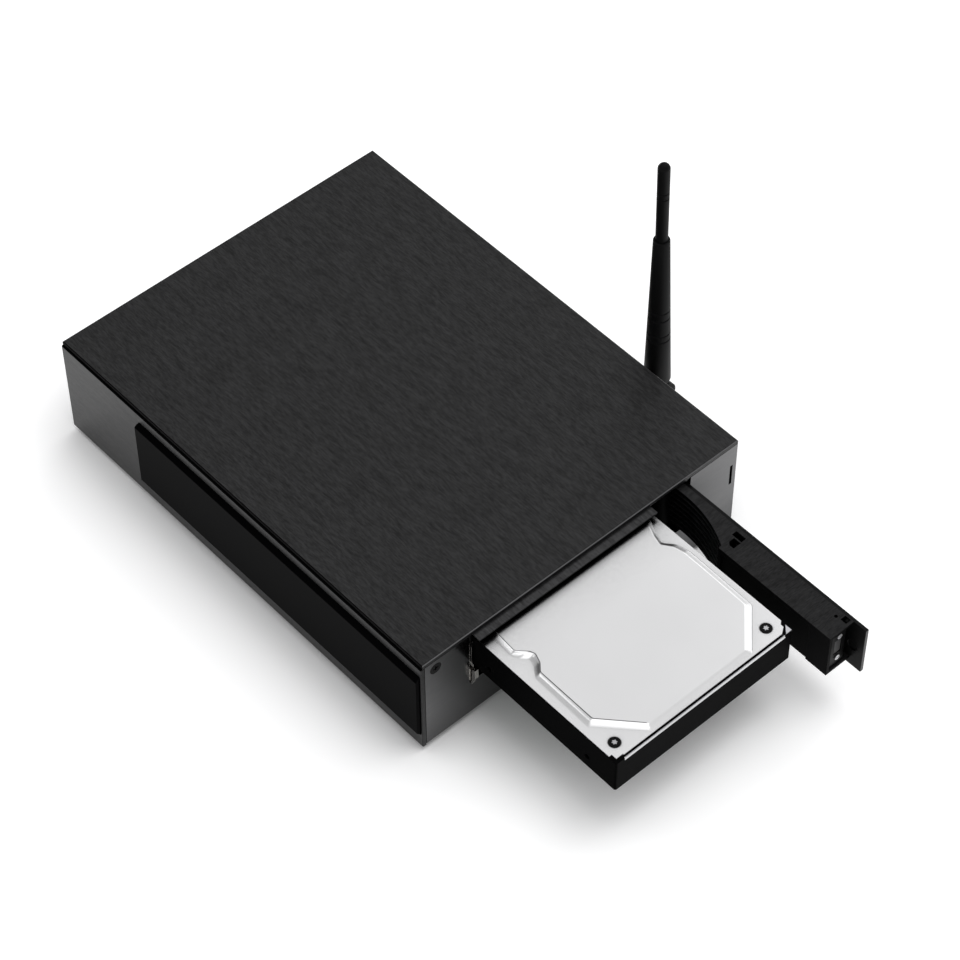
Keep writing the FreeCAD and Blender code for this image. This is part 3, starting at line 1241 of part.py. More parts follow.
def door_hinge():
    """Fixed hinge bracket on the side wall, with its ears, boss and pin."""
    wall_face = f"({RIGHT}-sheet)"
    ear_low = f"({PLATE_BASE}-2.2)"
    ear_low_top = f"({PLATE_BASE}-0.6)"
    ear_high = f"({DOOR_TOP}+0.4)"
    ear_high_top = f"({DOOR_TOP}+2)"
    plate = block((f"{wall_face}-1.6", wall_face), (f"{NOTCH_REAR}+2", f"{NOTCH_REAR}+14"),
                  (ear_low, ear_high_top), "hinge_leaf")
    ears = []
    for low, high in ((ear_low, ear_low_top), (ear_high, ear_high_top)):
        ears.append(block((f"{HINGE_X}-4.5", wall_face), (f"{HINGE_Y}+3", f"{NOTCH_REAR}+14"),
                          (low, high), "ear"))
        ears.append(block((f"{HINGE_X}-4.5", f"{HINGE_X}+4.5"), (HINGE_Y, f"{HINGE_Y}+4"), (low, high),
                          "ear_neck"))
        ears.append(rod("z", "4.5", (HINGE_X, HINGE_Y, low), span(low, high), "ear_round"))
    boss = rod("z", "3.6", (HINGE_X, HINGE_Y, ear_low_top), f"{DOOR_BASE}-0.3-{ear_low_top}", "ear_boss")
    bore = rod("z", "hinge_pin_radius", (HINGE_X, HINGE_Y, f"{ear_low}-1"),
               f"{span(ear_low, ear_high_top)}+2", "pin_bore")
    node("hinge_bracket", carved(joined(plate, boss, *ears), bore, name="hinge_bracket_cut"))
    shank = rod("z", "hinge_pin_radius", (HINGE_X, HINGE_Y, ear_low), f"{span(ear_low, ear_high_top)}",
                "pin_shank")
    head = rod("z", "2.6", (HINGE_X, HINGE_Y, ear_high_top), "0.7", "pin_head")
    node("hinge_pin", joined(shank, head, name="hinge_pin_whole"))


# ---------------------------------------------------------------- antenna

def at_antenna(thing):
    """Moves a piece made about the antenna's pivot to its place, leaning a little."""
    thing.Placement.Rotation = FreeCAD.Rotation(FreeCAD.Vector(0, -1, 0), 1)
    bind(thing, "Placement.Rotation.Angle", "antenna_lean")
    for place, value in zip("xyz", ("antenna_place", f"{REAR}+antenna_reach", "antenna_rise")):
        bind(thing, f"Placement.Base.{place}", value)
    return thing


def antenna_jack():
    """Threaded jack through the rear panel, with its hexagon nut."""
    face = (f"{REAR}-sheet-5", f"{REAR}+8.4")
    tube = rod("y", "jack_radius", ("antenna_place", face[0], "antenna_rise"), span(*face), "jack_tube")
    collar = rod("y", "4.4", ("antenna_place", face[0], "antenna_rise"), "5", "jack_collar")
    bore = rod("y", "1.2", ("antenna_place", f"{REAR}-2", "antenna_rise"), "12", "jack_bore")
    node("antenna_jack", carved(joined(tube, collar), bore, name="antenna_jack_cut"))
    nut = doc.addObject("Part::Prism", "jack_nut_blank")
    nut.Polygon = 6
    bind(nut, "Circumradius", "jack_radius+1.7")
    nut.Height = 1.9
    nut.Placement.Rotation = TURNS["y"]
    for place, value in zip("xyz", ("antenna_place", REAR, "antenna_rise")):
        bind(nut, f"Placement.Base.{place}", value)
    hole = rod("y", "jack_radius", ("antenna_place", f"{REAR}-1", "antenna_rise"), "4", "jack_nut_hole")
    node("jack_nut", carved(nut, hole, name="jack_nut_cut"))


def antenna_elbow():
    """Coupling barrel and fork that turn together on the jack."""
    start = "(-antenna_reach+2.4)"
    turn = "-7"
    barrel = rod("y", "barrel_radius", ("0", start, "0"), f"{turn}-{start}+1", "barrel")
    thread = rod("y", "jack_radius+running_gap", ("0", f"{start}-1", "0"), "7.4", "barrel_bore")
    node("antenna_coupling", at_antenna(carved(barrel, thread, name="antenna_coupling_cut")))
    half = "antenna_root_radius-0.2"
    drum = rod("x", "antenna_root_radius-0.3", (f"-({half})", "0", "0"), f"2*({half})", "fork_drum")
    neck = block((f"-({half})", half), (f"{turn}+1", "0"), (f"-({half})+1", f"({half})-1"), "fork_neck")
    slot = block(("-fork_slot/2", "fork_slot/2"), (f"{turn}+1.4", "antenna_root_radius+1"),
                 ("-antenna_root_radius-1", "antenna_root_radius+1"), "fork_slot_cut")
    bore = rod("x", "1.0", ("-antenna_root_radius-1", "0", "0"), "2*antenna_root_radius+2", "fork_bore")
    node("antenna_fork", at_antenna(carved(joined(drum, neck), slot, bore, name="antenna_fork_cut")))
    shank = rod("x", "1.0", (f"-({half})", "0", "0"), f"2*({half})", "fork_pin")
    heads = [rod("x", "1.7", (start_x, "0", "0"), "0.5",
                 "fork_pin_head") for start_x in (f"-({half})-0.5", half)]
    node("antenna_pin", at_antenna(joined(shank, *heads, name="antenna_pin_whole")))


def antenna_mast():
    """Tapered rubber sleeve with its hinge tongue, and the slim whip above it."""
    sleeve = body("antenna_sleeve_body")
    profile = sketch(sleeve, "XZ", "0")
    low = "(antenna_root_radius+0.4)"
    top = "antenna_sleeve_length"
    shoulder = f"({low}+1)"
    slope = f"((antenna_root_radius-antenna_neck_radius)/({top}-{shoulder}))"

    def edge_at(height):
        return (f"antenna_root_radius-({height}-{shoulder})*{slope}", height)

    outline = [("0", low), ("antenna_root_radius-1", low), edge_at(shoulder)]
    outline.append(edge_at(f"({top}-0.5)"))
    outline.append(("antenna_neck_radius-0.5", top))
    outline.append(("0", top))
    polygon(profile, outline)
    turned = sleeve.newObject("PartDesign::Revolution", "antenna_sleeve_turned")
    turned.Profile = profile
    turned.ReferenceAxis = (profile, ["V_Axis"])
    turned.Angle = 360
    tongue_half = "(fork_slot/2-0.3)"
    tongue = sketch(sleeve, "YZ", f"-{tongue_half}")
    rectangle(tongue, ("-antenna_root_radius+2", "antenna_root_radius-2"), ("0", f"{low}+1"))
    pad(sleeve, tongue, f"2*{tongue_half}")
    eye = sketch(sleeve, "YZ", f"-{tongue_half}")
    circle(eye, ("0", "0"), "antenna_root_radius-1")
    pad(sleeve, eye, f"2*{tongue_half}")
    bore = sketch(sleeve, "YZ", "antenna_root_radius+1")
    circle(bore, ("0", "0"), "1.0+running_gap")
    pocket(sleeve, bore, "2*antenna_root_radius+2")
    node("antenna_sleeve", at_antenna(sleeve))
    whip = body("antenna_whip_body")
    shape = sketch(whip, "XZ", "0")
    foot = top
    tip = "antenna_length"
    polygon(shape, [
        ("0", foot), ("whip_radius", foot), ("whip_radius", f"{tip}-2.6"),
        ("whip_radius*0.8", f"{tip}-1.2"),
        ("whip_radius*0.4", f"{tip}-0.3"), ("0", tip),
    ])
    spun = whip.newObject("PartDesign::Revolution", "antenna_whip_turned")
    spun.Profile = shape
    spun.ReferenceAxis = (shape, ["V_Axis"])
    spun.Angle = 360
    node("antenna_whip", at_antenna(whip))


# ---------------------------------------------------------------- build and write

lower_chassis()
top_cover()
front_panel()
display_window()
display_unit()
rear_panel()
rubber_feet()
cover_screws()
main_board()
heat_sink()
rear_sockets()
power_switch()
drive_cage()
bay_lip()
bay_striker()
sata_backplane()
drive_casting()
drive_lid()
drive_screws()
drive_works()
drive_electronics()
door_frame()
door_plate()
door_latch()
door_hinge()
antenna_jack()
antenna_elbow()
antenna_mast()
doc.recompute()

for item in doc.Objects:
    if "Invalid" in item.State or "Error" in item.State:
        raise RuntimeError(f"{item.Name} ({item.Label}) did not build: {item.State}")
for name, item in NODES.items():
    if item.Shape.isNull() or not item.Shape.isValid() or not item.Shape.Solids:
        raise RuntimeError(f"{name} has no valid solid")

outline = FreeCAD.BoundBox()
for item in NODES.values():
    outline.add(item.Shape.optimalBoundingBox(False, False))
to_middle = FreeCAD.Vector(-outline.Center.x, -outline.Center.y, -outline.ZMin)

os.makedirs("parts", exist_ok=True)
for name, item in NODES.items():
    item.Shape.translated(to_middle).exportStep(f"parts/{name}.step")
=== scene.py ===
import json
import math

import bmesh
import bpy
from mathutils import Euler, Matrix, Vector


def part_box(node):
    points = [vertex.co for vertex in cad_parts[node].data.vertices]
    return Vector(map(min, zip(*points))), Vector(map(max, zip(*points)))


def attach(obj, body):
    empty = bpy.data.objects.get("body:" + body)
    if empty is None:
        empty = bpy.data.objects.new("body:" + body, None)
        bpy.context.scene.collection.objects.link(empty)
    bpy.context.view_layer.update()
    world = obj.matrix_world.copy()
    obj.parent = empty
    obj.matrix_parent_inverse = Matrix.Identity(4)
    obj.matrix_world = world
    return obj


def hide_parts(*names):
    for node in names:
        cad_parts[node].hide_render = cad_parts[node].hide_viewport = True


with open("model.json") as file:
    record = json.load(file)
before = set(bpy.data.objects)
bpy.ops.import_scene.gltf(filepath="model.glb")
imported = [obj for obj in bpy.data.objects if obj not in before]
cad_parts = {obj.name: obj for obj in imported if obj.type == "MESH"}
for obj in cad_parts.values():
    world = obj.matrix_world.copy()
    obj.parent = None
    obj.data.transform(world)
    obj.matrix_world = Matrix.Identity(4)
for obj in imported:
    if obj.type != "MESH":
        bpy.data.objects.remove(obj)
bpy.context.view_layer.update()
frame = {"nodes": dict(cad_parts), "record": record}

MM = 0.001
NODES = frame["nodes"]
scene = bpy.context.scene


# ---------------------------------------------------------------- camera

# Fitted to the straight edges of the case and the drive in the photo.
SENSOR_WIDTH_MM = 36.0
FOCAL_LENGTH_MM = 116.2
CLIP_END = 20.0
CAMERA_PLACE = (0.652612, -0.589215, 1.085598)
CAMERA_TURN = (0.6979133, 0.0033162, 0.8386612)


def make_camera():
    lens = bpy.data.cameras.new("view")
    lens.sensor_width = SENSOR_WIDTH_MM
    lens.lens = FOCAL_LENGTH_MM
    lens.clip_end = CLIP_END
    camera = bpy.data.objects.new("view", lens)
    camera.location = CAMERA_PLACE
    camera.rotation_euler = Euler(CAMERA_TURN, "XYZ")
    scene.collection.objects.link(camera)
    scene.camera = camera


make_camera()


# ---------------------------------------------------------------- material helpers

BEVEL_SAMPLES = 4
OCCLUSION_SAMPLES = 8


class Nodes:
    """A short way to write a material's node tree."""

    def __init__(self, name):
        self.material = bpy.data.materials.new(name)
        self.material.use_nodes = True
        self.tree = self.material.node_tree
        self.shader = self.tree.nodes["Principled BSDF"]
        self.place = self.tree.nodes.new("ShaderNodeTexCoord").outputs["Object"]

    def node(self, kind, **values):
        made = self.tree.nodes.new("ShaderNode" + kind)
        for key, value in values.items():
            setattr(made, key, value)
        return made

    def link(self, source, target):
        self.tree.links.new(source, target)

    def stretched(self, scale):
        """The place on the object, scaled by its own number in each direction."""
        made = self.node("Mapping")
        made.inputs["Scale"].default_value = scale
        self.link(self.place, made.inputs["Vector"])
        return made.outputs["Vector"]

    def noise(self, scale, detail=3.0, rough=0.55, vector=None):
        made = self.node("TexNoise")
        made.inputs["Scale"].default_value = scale
        made.inputs["Detail"].default_value = detail
        made.inputs["Roughness"].default_value = rough
        self.link(vector or self.place, made.inputs["Vector"])
        return made.outputs["Fac"]

    def ramp(self, value, stops):
        """stops is [(place, colour), ...]."""
        made = self.node("ValToRGB")
        line = made.color_ramp
        while len(line.elements) < len(stops):
            line.elements.new(0.5)
        for element, (place, colour) in zip(line.elements, stops):
            element.position = place
            element.color = (*colour, 1.0)
        self.link(value, made.inputs["Fac"])
        return made.outputs["Color"]

    def scaled(self, value, low, high):
        made = self.node("MapRange")
        made.inputs["To Min"].default_value = low
        made.inputs["To Max"].default_value = high
        self.link(value, made.inputs["Value"])
        return made.outputs["Result"]

    def mix(self, factor, first, second):
        """Goes from the first colour to the second; each is a colour or a socket."""
        made = self.node("Mix", data_type="RGBA")
        self.link(factor, made.inputs["Factor"])
        for source, socket in ((first, made.inputs["A"]), (second, made.inputs["B"])):
            if isinstance(source, tuple):
                socket.default_value = (*source, 1.0)
            else:
                self.link(source, socket)
        return made.outputs["Result"]

    def math(self, operation, first, second):
        """The first value is a socket, and the second is a socket or a number."""
        made = self.node("Math", operation=operation)
        self.link(first, made.inputs[0])
        if isinstance(second, float):
            made.inputs[1].default_value = second
        else:
            self.link(second, made.inputs[1])
        return made.outputs[0]

    def bump(self, height, strength, distance=0.0001, normal=None):
        made = self.node("Bump")
        made.inputs["Strength"].default_value = strength
        made.inputs["Distance"].default_value = distance
        self.link(height, made.inputs["Height"])
        if normal is not None:
            self.link(normal, made.inputs["Normal"])
        return made.outputs["Normal"]

    def soft_edges(self, radius):
        made = self.node("Bevel", samples=BEVEL_SAMPLES)
        made.inputs["Radius"].default_value = radius
        return made.outputs["Normal"]

    def painted_shade_factor(self, reach, power):
        """1 in the open and less close to other surfaces, whatever the pose; used to paint shade
        into colour.
        """
        made = self.node("AmbientOcclusion", samples=OCCLUSION_SAMPLES)
        made.inputs["Distance"].default_value = reach
        return self.math("POWER", made.outputs["AO"], power)

    def set(self, socket, value):
        target = self.shader.inputs[socket]
        if isinstance(value, (int, float)):
            target.default_value = value
        elif isinstance(value, tuple):
            target.default_value = (*value, 1.0)
        else:
            self.link(value, target)


PER_METRE = 1000.0
# Brushing is a layer of fine strokes and one of broader strokes, added in these shares.
FINE_SHARE = 0.65
BROAD_SHARE = 0.35
BROAD_SCALE = 0.22
# The values of the brushing at which the dark and the light tone are reached.
DARK_AT = 0.36
LIGHT_AT = 0.64
CLOUD_SCALE = 9.0
CLOUD_SHARE = 0.12
# Painted shade in the corners of the case: how fast it darkens, and the share of the tone that is
# left.
PAINTED_SHADE_POWER = 1.6
PAINTED_SHADE_TONE = 0.1
BRUSH_DEPTH = 0.00006
BRUSHED_EDGE = 0.0002
BRUSHED_ROUGHER = 0.10
BRUSHED_SMOOTHER = 0.08


def brushed(name, dark, light, rough, metal, along="X", across_mm=0.7, along_mm=6.0, bump=0.25,
            specular=0.5, reach=None):
    """Metal or paint with fine strokes in one direction; with a reach, shade is painted darker
    into the corners.
    """
    kit = Nodes(name)
    stretch = [PER_METRE / across_mm] * 3
    stretch["XYZ".index(along)] = PER_METRE / along_mm
    fine = kit.noise(1.0, 2.0, 0.6, kit.stretched(stretch))
    broad = kit.noise(1.0, 2.0, 0.5, kit.stretched([value * BROAD_SCALE for value in stretch]))
    cloud = kit.noise(CLOUD_SCALE, 2.0, 0.5)
    strokes = kit.math("ADD", kit.math("MULTIPLY", fine, FINE_SHARE),
                       kit.math("MULTIPLY", broad, BROAD_SHARE))
    middle = tuple((low + high) / 2 for low, high in zip(dark, light))
    tone = kit.ramp(strokes, [(DARK_AT, dark), (0.5, middle), (LIGHT_AT, light)])
    tone = kit.mix(kit.scaled(cloud, 0.0, CLOUD_SHARE), tone, light)
    if reach:
        painted_shade_tone = tuple(PAINTED_SHADE_TONE * value for value in dark)
        tone = kit.mix(kit.painted_shade_factor(reach, PAINTED_SHADE_POWER), painted_shade_tone, tone)
    kit.set("Base Color", tone)
    kit.set("Metallic", metal)
    kit.set("Roughness", kit.scaled(strokes, rough + BRUSHED_ROUGHER, rough - BRUSHED_SMOOTHER))
    kit.set("Specular IOR Level", specular)
    kit.set("Normal", kit.bump(strokes, bump, BRUSH_DEPTH, kit.soft_edges(BRUSHED_EDGE)))
    return kit.material


SATIN_CLOUD = 22.0
CLOUD_STOPS = (0.3, 0.7)
GRAIN_DEPTH = 0.00008
SATIN_SMOOTHER = 0.05
SATIN_ROUGHER = 0.06


def between(kit, value, dark, light):
    """Goes from dark to light over the middle of a noise's values."""
    return kit.ramp(value, list(zip(CLOUD_STOPS, (dark, light))))


def satin(name, colour, rough, metal=0.0, grain=0.12, size=900.0, specular=0.5, edge=0.0003,
          vary=0.12):
    """Moulded plastic, paint or cast metal: fine grain, a little unevenness, soft edges."""
    kit = Nodes(name)
    fine = kit.noise(size, 3.0, 0.6)
    cloud = kit.noise(SATIN_CLOUD)
    dark = tuple(value * (1.0 - vary) for value in colour)
    light = tuple(min(1.0, value * (1.0 + vary)) for value in colour)
    kit.set("Base Color", between(kit, cloud, dark, light))
    kit.set("Metallic", metal)
    kit.set("Roughness", kit.scaled(cloud, rough - SATIN_SMOOTHER, rough + SATIN_ROUGHER))
    kit.set("Specular IOR Level", specular)
    kit.set("Normal", kit.bump(fine, grain, GRAIN_DEPTH, kit.soft_edges(edge)))
    return kit.material


TRACK_SCALE = 260.0
TRACK_STOPS = ((0.03, (0.03, 0.17, 0.07)), (0.06, (0.012, 0.075, 0.03)))
WINDOW_IOR = 1.045
# Painted shade on the lid under what overhangs it: how far it reaches, and how fast it darkens.
LID_SHADE_REACH = 0.026
LID_SHADE_POWER = 5.0


def board_green():
    """Circuit board: solder mask with faint tracks under it."""
    kit = Nodes("board_green")
    cells = kit.node("TexVoronoi", feature="DISTANCE_TO_EDGE", distance="CHEBYCHEV")
    cells.inputs["Scale"].default_value = TRACK_SCALE
    kit.link(kit.place, cells.inputs["Vector"])
    kit.set("Base Color", kit.ramp(cells.outputs["Distance"], TRACK_STOPS))
    kit.set("Roughness", kit.scaled(kit.noise(60.0), 0.28, 0.42))
    kit.set("Normal", kit.bump(cells.outputs["Distance"], 0.1))
    return kit.material


def window_black():
    """Black acrylic with a deep gloss and the faintest unevenness."""
    kit = Nodes("window_black")
    cloud = kit.noise(6.0, 2.0, 0.5)
    kit.set("Base Color", between(kit, cloud, (0.0012, 0.0012, 0.0013), (0.0022, 0.0022, 0.0024)))
    kit.set("Roughness", kit.scaled(kit.noise(40.0), 0.03, 0.07))
    kit.set("IOR", WINDOW_IOR)
    kit.set("Normal", kit.bump(cloud, 0.02, 0.0002))
    return kit.material


def display_glass():
    """Dark glass of the display tube."""
    kit = Nodes("display_glass")
    cloud = kit.noise(30.0)
    kit.set("Base Color", between(kit, cloud, (0.01, 0.016, 0.016), (0.016, 0.024, 0.024)))
    kit.set("Roughness", kit.scaled(kit.noise(50.0), 0.04, 0.09))
    return kit.material


def stamped_steel():
    """Bright sheet metal with painted shade close under what overhangs it, at any pose."""
    kit = Nodes("drive_steel")
    cloud = kit.noise(SATIN_CLOUD)
    tone = between(kit, cloud, (0.82, 0.82, 0.82), (0.845, 0.845, 0.845))
    painted_shade = kit.painted_shade_factor(LID_SHADE_REACH, LID_SHADE_POWER)
    # Painted shade: the lid's tone goes to near black under the lip and the cover.
    kit.set("Base Color", kit.mix(painted_shade, (0.02, 0.02, 0.02), tone))
    kit.set("Metallic", 1.0)
    kit.set("Roughness", kit.scaled(cloud, 0.18, 0.26))
    kit.set("Normal", kit.soft_edges(0.0001))
    return kit.material


FINE_STROKES = {"across_mm": 0.5, "along_mm": 3.0}
THIN_EDGE = 0.0001
MATERIALS = {
    "cover_black": brushed("cover_black", (0.002, 0.002, 0.0021), (0.024, 0.024, 0.0245),
                           rough=0.36, metal=0.0, bump=0.8, specular=0.22, **FINE_STROKES),
    # The case's metal has painted shade in its corners, as far as its reach.
    "case_metal": brushed("case_metal", (0.125, 0.125, 0.127), (0.138, 0.138, 0.14),
                          rough=0.2, metal=1.0, along="Y", bump=0.05, reach=0.03),
    "front_grey": brushed("front_grey", (0.014, 0.014, 0.0142), (0.025, 0.025, 0.0253),
                          rough=0.34, metal=0.9, bump=0.3, **FINE_STROKES),
    "window_black": window_black(),
    "display_glass": display_glass(),
    "rear_black": satin("rear_black", (0.02, 0.02, 0.021), rough=0.5, grain=0.3),
    "foot_rubber": satin("foot_rubber", (0.012, 0.012, 0.012), rough=0.8, grain=0.4),
    "screw_black": satin("screw_black", (0.002, 0.002, 0.0021), rough=0.35, edge=THIN_EDGE,
                         specular=0.1),
    "screw_steel": satin("screw_steel", (0.5, 0.5, 0.51), rough=0.3, metal=1.0, edge=THIN_EDGE),
    "cage_steel": satin("cage_steel", (0.05, 0.05, 0.052), rough=0.4, metal=1.0, grain=0.05),
    "board_green": board_green(),
    "chip_black": satin("chip_black", (0.012, 0.012, 0.013), rough=0.55),
    "can_silver": satin("can_silver", (0.6, 0.6, 0.62), rough=0.3, metal=1.0),
    "sink_aluminium": satin("sink_aluminium", (0.03, 0.03, 0.032), rough=0.45, metal=0.6),
    "socket_black": satin("socket_black", (0.01, 0.01, 0.0105), rough=0.45, grain=0.2),
    "socket_metal": brushed("socket_metal", (0.42, 0.42, 0.43), (0.55, 0.55, 0.56),
                            rough=0.3, metal=1.0, bump=0.08),
    "jack_brass": satin("jack_brass", (0.7, 0.5, 0.2), rough=0.25, metal=1.0, edge=THIN_EDGE),
    "drive_black": satin("drive_black", (0.0022, 0.0022, 0.0023), rough=0.5, grain=0.5,
                         size=1400.0, edge=0.0004, specular=0.012),
    "drive_steel": stamped_steel(),
    "platter_silver": satin("platter_silver", (0.8, 0.8, 0.82), rough=0.08, metal=1.0, grain=0.0),
    "works_aluminium": satin("works_aluminium", (0.55, 0.55, 0.57), rough=0.3, metal=1.0),
    "magnet_nickel": satin("magnet_nickel", (0.6, 0.6, 0.6), rough=0.2, metal=1.0),
    "door_black": brushed("door_black", (0.005, 0.005, 0.0052), (0.021, 0.021, 0.0215),
                          rough=0.5, metal=0.0, along="Y", bump=0.6, specular=0.12,
                          **FINE_STROKES),
    "door_aluminium": brushed("door_aluminium", (0.005, 0.005, 0.0051), (0.007, 0.007, 0.0071),
                              rough=0.4, metal=0.3, bump=0.05, specular=0.06),
    "latch_grey": satin("latch_grey", (0.0022, 0.0022, 0.0023), rough=0.35, metal=0.2,
                        edge=0.0002, specular=0.04),
    "latch_steel": satin("latch_steel", (0.6, 0.58, 0.55), rough=0.2, metal=1.0, edge=THIN_EDGE),
    "antenna_black": satin("antenna_black", (0.005, 0.005, 0.0052), rough=0.5, grain=0.1,
                           specular=0.09),
}

# Second materials, for some faces of a piece.
# Painted shade: darker black for every face of the door frame but its top.
DOOR_SIDES_PAINTED_SHADE = satin("door_sides_painted_shade", (0.0022, 0.0022, 0.0023), rough=0.55, grain=0.4, specular=0.03)
# Painted shade: near black for the cover's front edge faces and the front panel's top faces.
PANEL_EDGE_PAINTED_SHADE = satin("panel_edge_painted_shade", (0.0015, 0.0015, 0.0016), rough=0.4, specular=0.03,
                   edge=THIN_EDGE)
# The door plate's rims and ends in bare metal, partly its own metal and partly painted light; the
# ends are painted lighter still.
PLATE_RIM_METAL_AND_SHEEN = satin("plate_rim_metal_and_sheen", (0.009, 0.009, 0.0092), rough=0.35, metal=0.9, grain=0.05,
                  edge=THIN_EDGE)
PLATE_END_METAL_AND_SHEEN = satin("plate_end_metal_and_sheen", (0.036, 0.036, 0.0365), rough=0.35, metal=0.9, grain=0.05,
                  edge=THIN_EDGE)
# Painted light: the lip's top faces in lighter brushed metal than its other faces.
LIP_TOP_PAINTED_LIGHT = brushed("lip_top_painted_light", (0.02, 0.02, 0.0205), (0.06, 0.06, 0.061), rough=0.3, metal=0.8,
                    bump=0.3, **FINE_STROKES)
# Painted highlight: bright metal on the cover's side chamfers.
PAINTED_CHAMFER_HIGHLIGHT = satin("painted_chamfer_highlight", (0.26, 0.26, 0.264), rough=0.3, metal=1.0, grain=0.05,
                 edge=THIN_EDGE)
# Painted shade: darker black for the casting's side that looks towards the front.
CASTING_SIDE_PAINTED_SHADE = satin("casting_side_painted_shade", (0.002, 0.002, 0.0021), rough=0.6, grain=0.3, specular=0.006)
# Painted shade: darker metal for the lid's stamped crease.
CREASE_PAINTED_SHADE = satin("crease", (0.16, 0.16, 0.162), rough=0.35, metal=1.0, grain=0.02, vary=0.03,
               edge=THIN_EDGE)
MACHINED = satin("machined", (0.6, 0.6, 0.605), rough=0.3, metal=1.0, grain=0.03, edge=THIN_EDGE)


def dress_frame():
    """Gives every CAD node the material of its slot."""
    for part in frame["record"]["subparts"]:
        mesh = NODES[part["node"]].data
        mesh.materials.clear()
        mesh.materials.append(MATERIALS[part["material_slot"]])


def touch_up(name, material, picks):
    """Gives a second material to the faces of a CAD node that the pick function chooses."""
    mesh = NODES[name].data
    mesh.materials.append(material)
    index = len(mesh.materials) - 1
    for face in mesh.polygons:
        if picks(face.normal, face.center):
            face.material_index = index


# How much of a face's normal points one way: a face that looks that way, one that leans that
# way, and the limits of a chamfer.
LOOKS = 0.5
LEANS = 0.3
CHAMFER_LEAST = 0.2
CHAMFER_MOST = 0.95
LEVEL_TOP = 0.9
NEAR_LID = 1.2 * MM
COVER_EDGE = 2.5 * MM


def touch_up_frame():
    lid_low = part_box("drive_lid")[0].z
    cover_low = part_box("top_cover")[1].z - COVER_EDGE
    touch_up("drive_casting", MACHINED,
             lambda normal, place: CHAMFER_LEAST < normal.z < CHAMFER_MOST
             and normal.x > CHAMFER_LEAST and abs(place.z - lid_low) < NEAR_LID)
    # Painted shade on the casting's side that looks towards the front.
    touch_up("drive_casting", CASTING_SIDE_PAINTED_SHADE, lambda normal, place: normal.y < -LOOKS)
    # Painted shade on the door frame's faces that are not its top.
    touch_up("door_frame", DOOR_SIDES_PAINTED_SHADE, lambda normal, place: normal.z < LEVEL_TOP)
    # Bare metal and painted light on the door plate's rims and ends.
    touch_up("door_plate", PLATE_RIM_METAL_AND_SHEEN, lambda normal, place: abs(normal.z) > LOOKS)
    touch_up("door_plate", PLATE_END_METAL_AND_SHEEN, lambda normal, place: abs(normal.x) > LOOKS)
    # Painted highlight on the cover's side chamfers.
    touch_up("top_cover", PAINTED_CHAMFER_HIGHLIGHT,
             lambda normal, place: LEANS < abs(normal.x) < LEVEL_TOP and place.z > cover_low)
    # Painted shade on the cover's front edge faces and the front panel's top faces.
    touch_up("top_cover", PANEL_EDGE_PAINTED_SHADE, lambda normal, place: normal.y < -LEANS)
    touch_up("front_panel", PANEL_EDGE_PAINTED_SHADE, lambda normal, place: normal.z > LOOKS)
    # Painted light on the lip's top faces.
    touch_up("bay_lip", LIP_TOP_PAINTED_LIGHT, lambda normal, place: normal.z > LOOKS)


dress_frame()
touch_up_frame()


# ---------------------------------------------------------------- mesh helpers

# A face whose normal points this much up or down is level and flat shaded, and an edge of this
# angle in radians or more is sharp.
LEVEL = 0.99995
SHARP_EDGE = 0.6
LATHE_STEPS = 64
CORNER_STEPS = 5
# The most of a side that one rounded corner may use.
CORNER_SHARE = 0.45
MITRE_LIMIT = 0.5


def piece_from(name, drawing, body, slot, replaces=(), extra=None):
    """Turns a bmesh in the row frame into a piece that rides on a body."""
    bmesh.ops.recalc_face_normals(drawing, faces=drawing.faces)
    for face in drawing.faces:
        face.smooth = abs(face.normal.z) < LEVEL
    for edge in drawing.edges:
        edge.smooth = len(edge.link_faces) == 2 and edge.calc_face_angle(0.0) < SHARP_EDGE
    mesh = bpy.data.meshes.new(name)
    drawing.to_mesh(mesh)
    drawing.free()
    mesh.materials.append(MATERIALS[slot])
    if extra:
        mesh.materials.append(extra)
    piece = bpy.data.objects.new(name, mesh)
    scene.collection.objects.link(piece)
    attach(piece, body)
    if replaces:
        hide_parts(*replaces)


def add_ring(drawing, points):
    return [drawing.verts.new(point) for point in points]


def bridge(drawing, *rings):
    """Faces between closed rings that have as many points, each with the next."""
    for lower, upper in zip(rings, rings[1:]):
        count = len(lower)
        for step in range(count):
            after = (step + 1) % count
            drawing.faces.new((lower[step], lower[after], upper[after], upper[step]))


def close_between(drawing, *rings):
    """Fills the flat area between closed rings, or inside one ring."""
    edges = []
    for ring in rings:
        for step in range(len(ring)):
            pair = (ring[step], ring[(step + 1) % len(ring)])
            edges.append(drawing.edges.get(pair) or drawing.edges.new(pair))
    bmesh.ops.triangle_fill(drawing, use_beauty=True, use_dissolve=False, edges=edges)


def turns(steps):
    """The angles of a full turn in even steps."""
    return [2 * math.pi * step / steps for step in range(steps)]


def lathe(drawing, profile, place):
    """Turns a profile of (radius, height in mm) about an axis.

    place maps millimetres to the row frame.
    """
    rings = []
    for radius, height in profile:
        if radius == 0:
            rings.append([drawing.verts.new(place @ Vector((0, 0, height)))])
            continue
        rings.append(add_ring(drawing, [
            place @ Vector((radius * math.cos(turn), radius * math.sin(turn), height))
            for turn in turns(LATHE_STEPS)]))
    for lower, upper in zip(rings, rings[1:]):
        if len(lower) == 1 or len(upper) == 1:
            tip = lower[0] if len(lower) == 1 else upper[0]
            ring = upper if len(lower) == 1 else lower
            for step in range(len(ring)):
                drawing.faces.new((ring[step], ring[(step + 1) % len(ring)], tip))
        else:
            bridge(drawing, lower, upper)


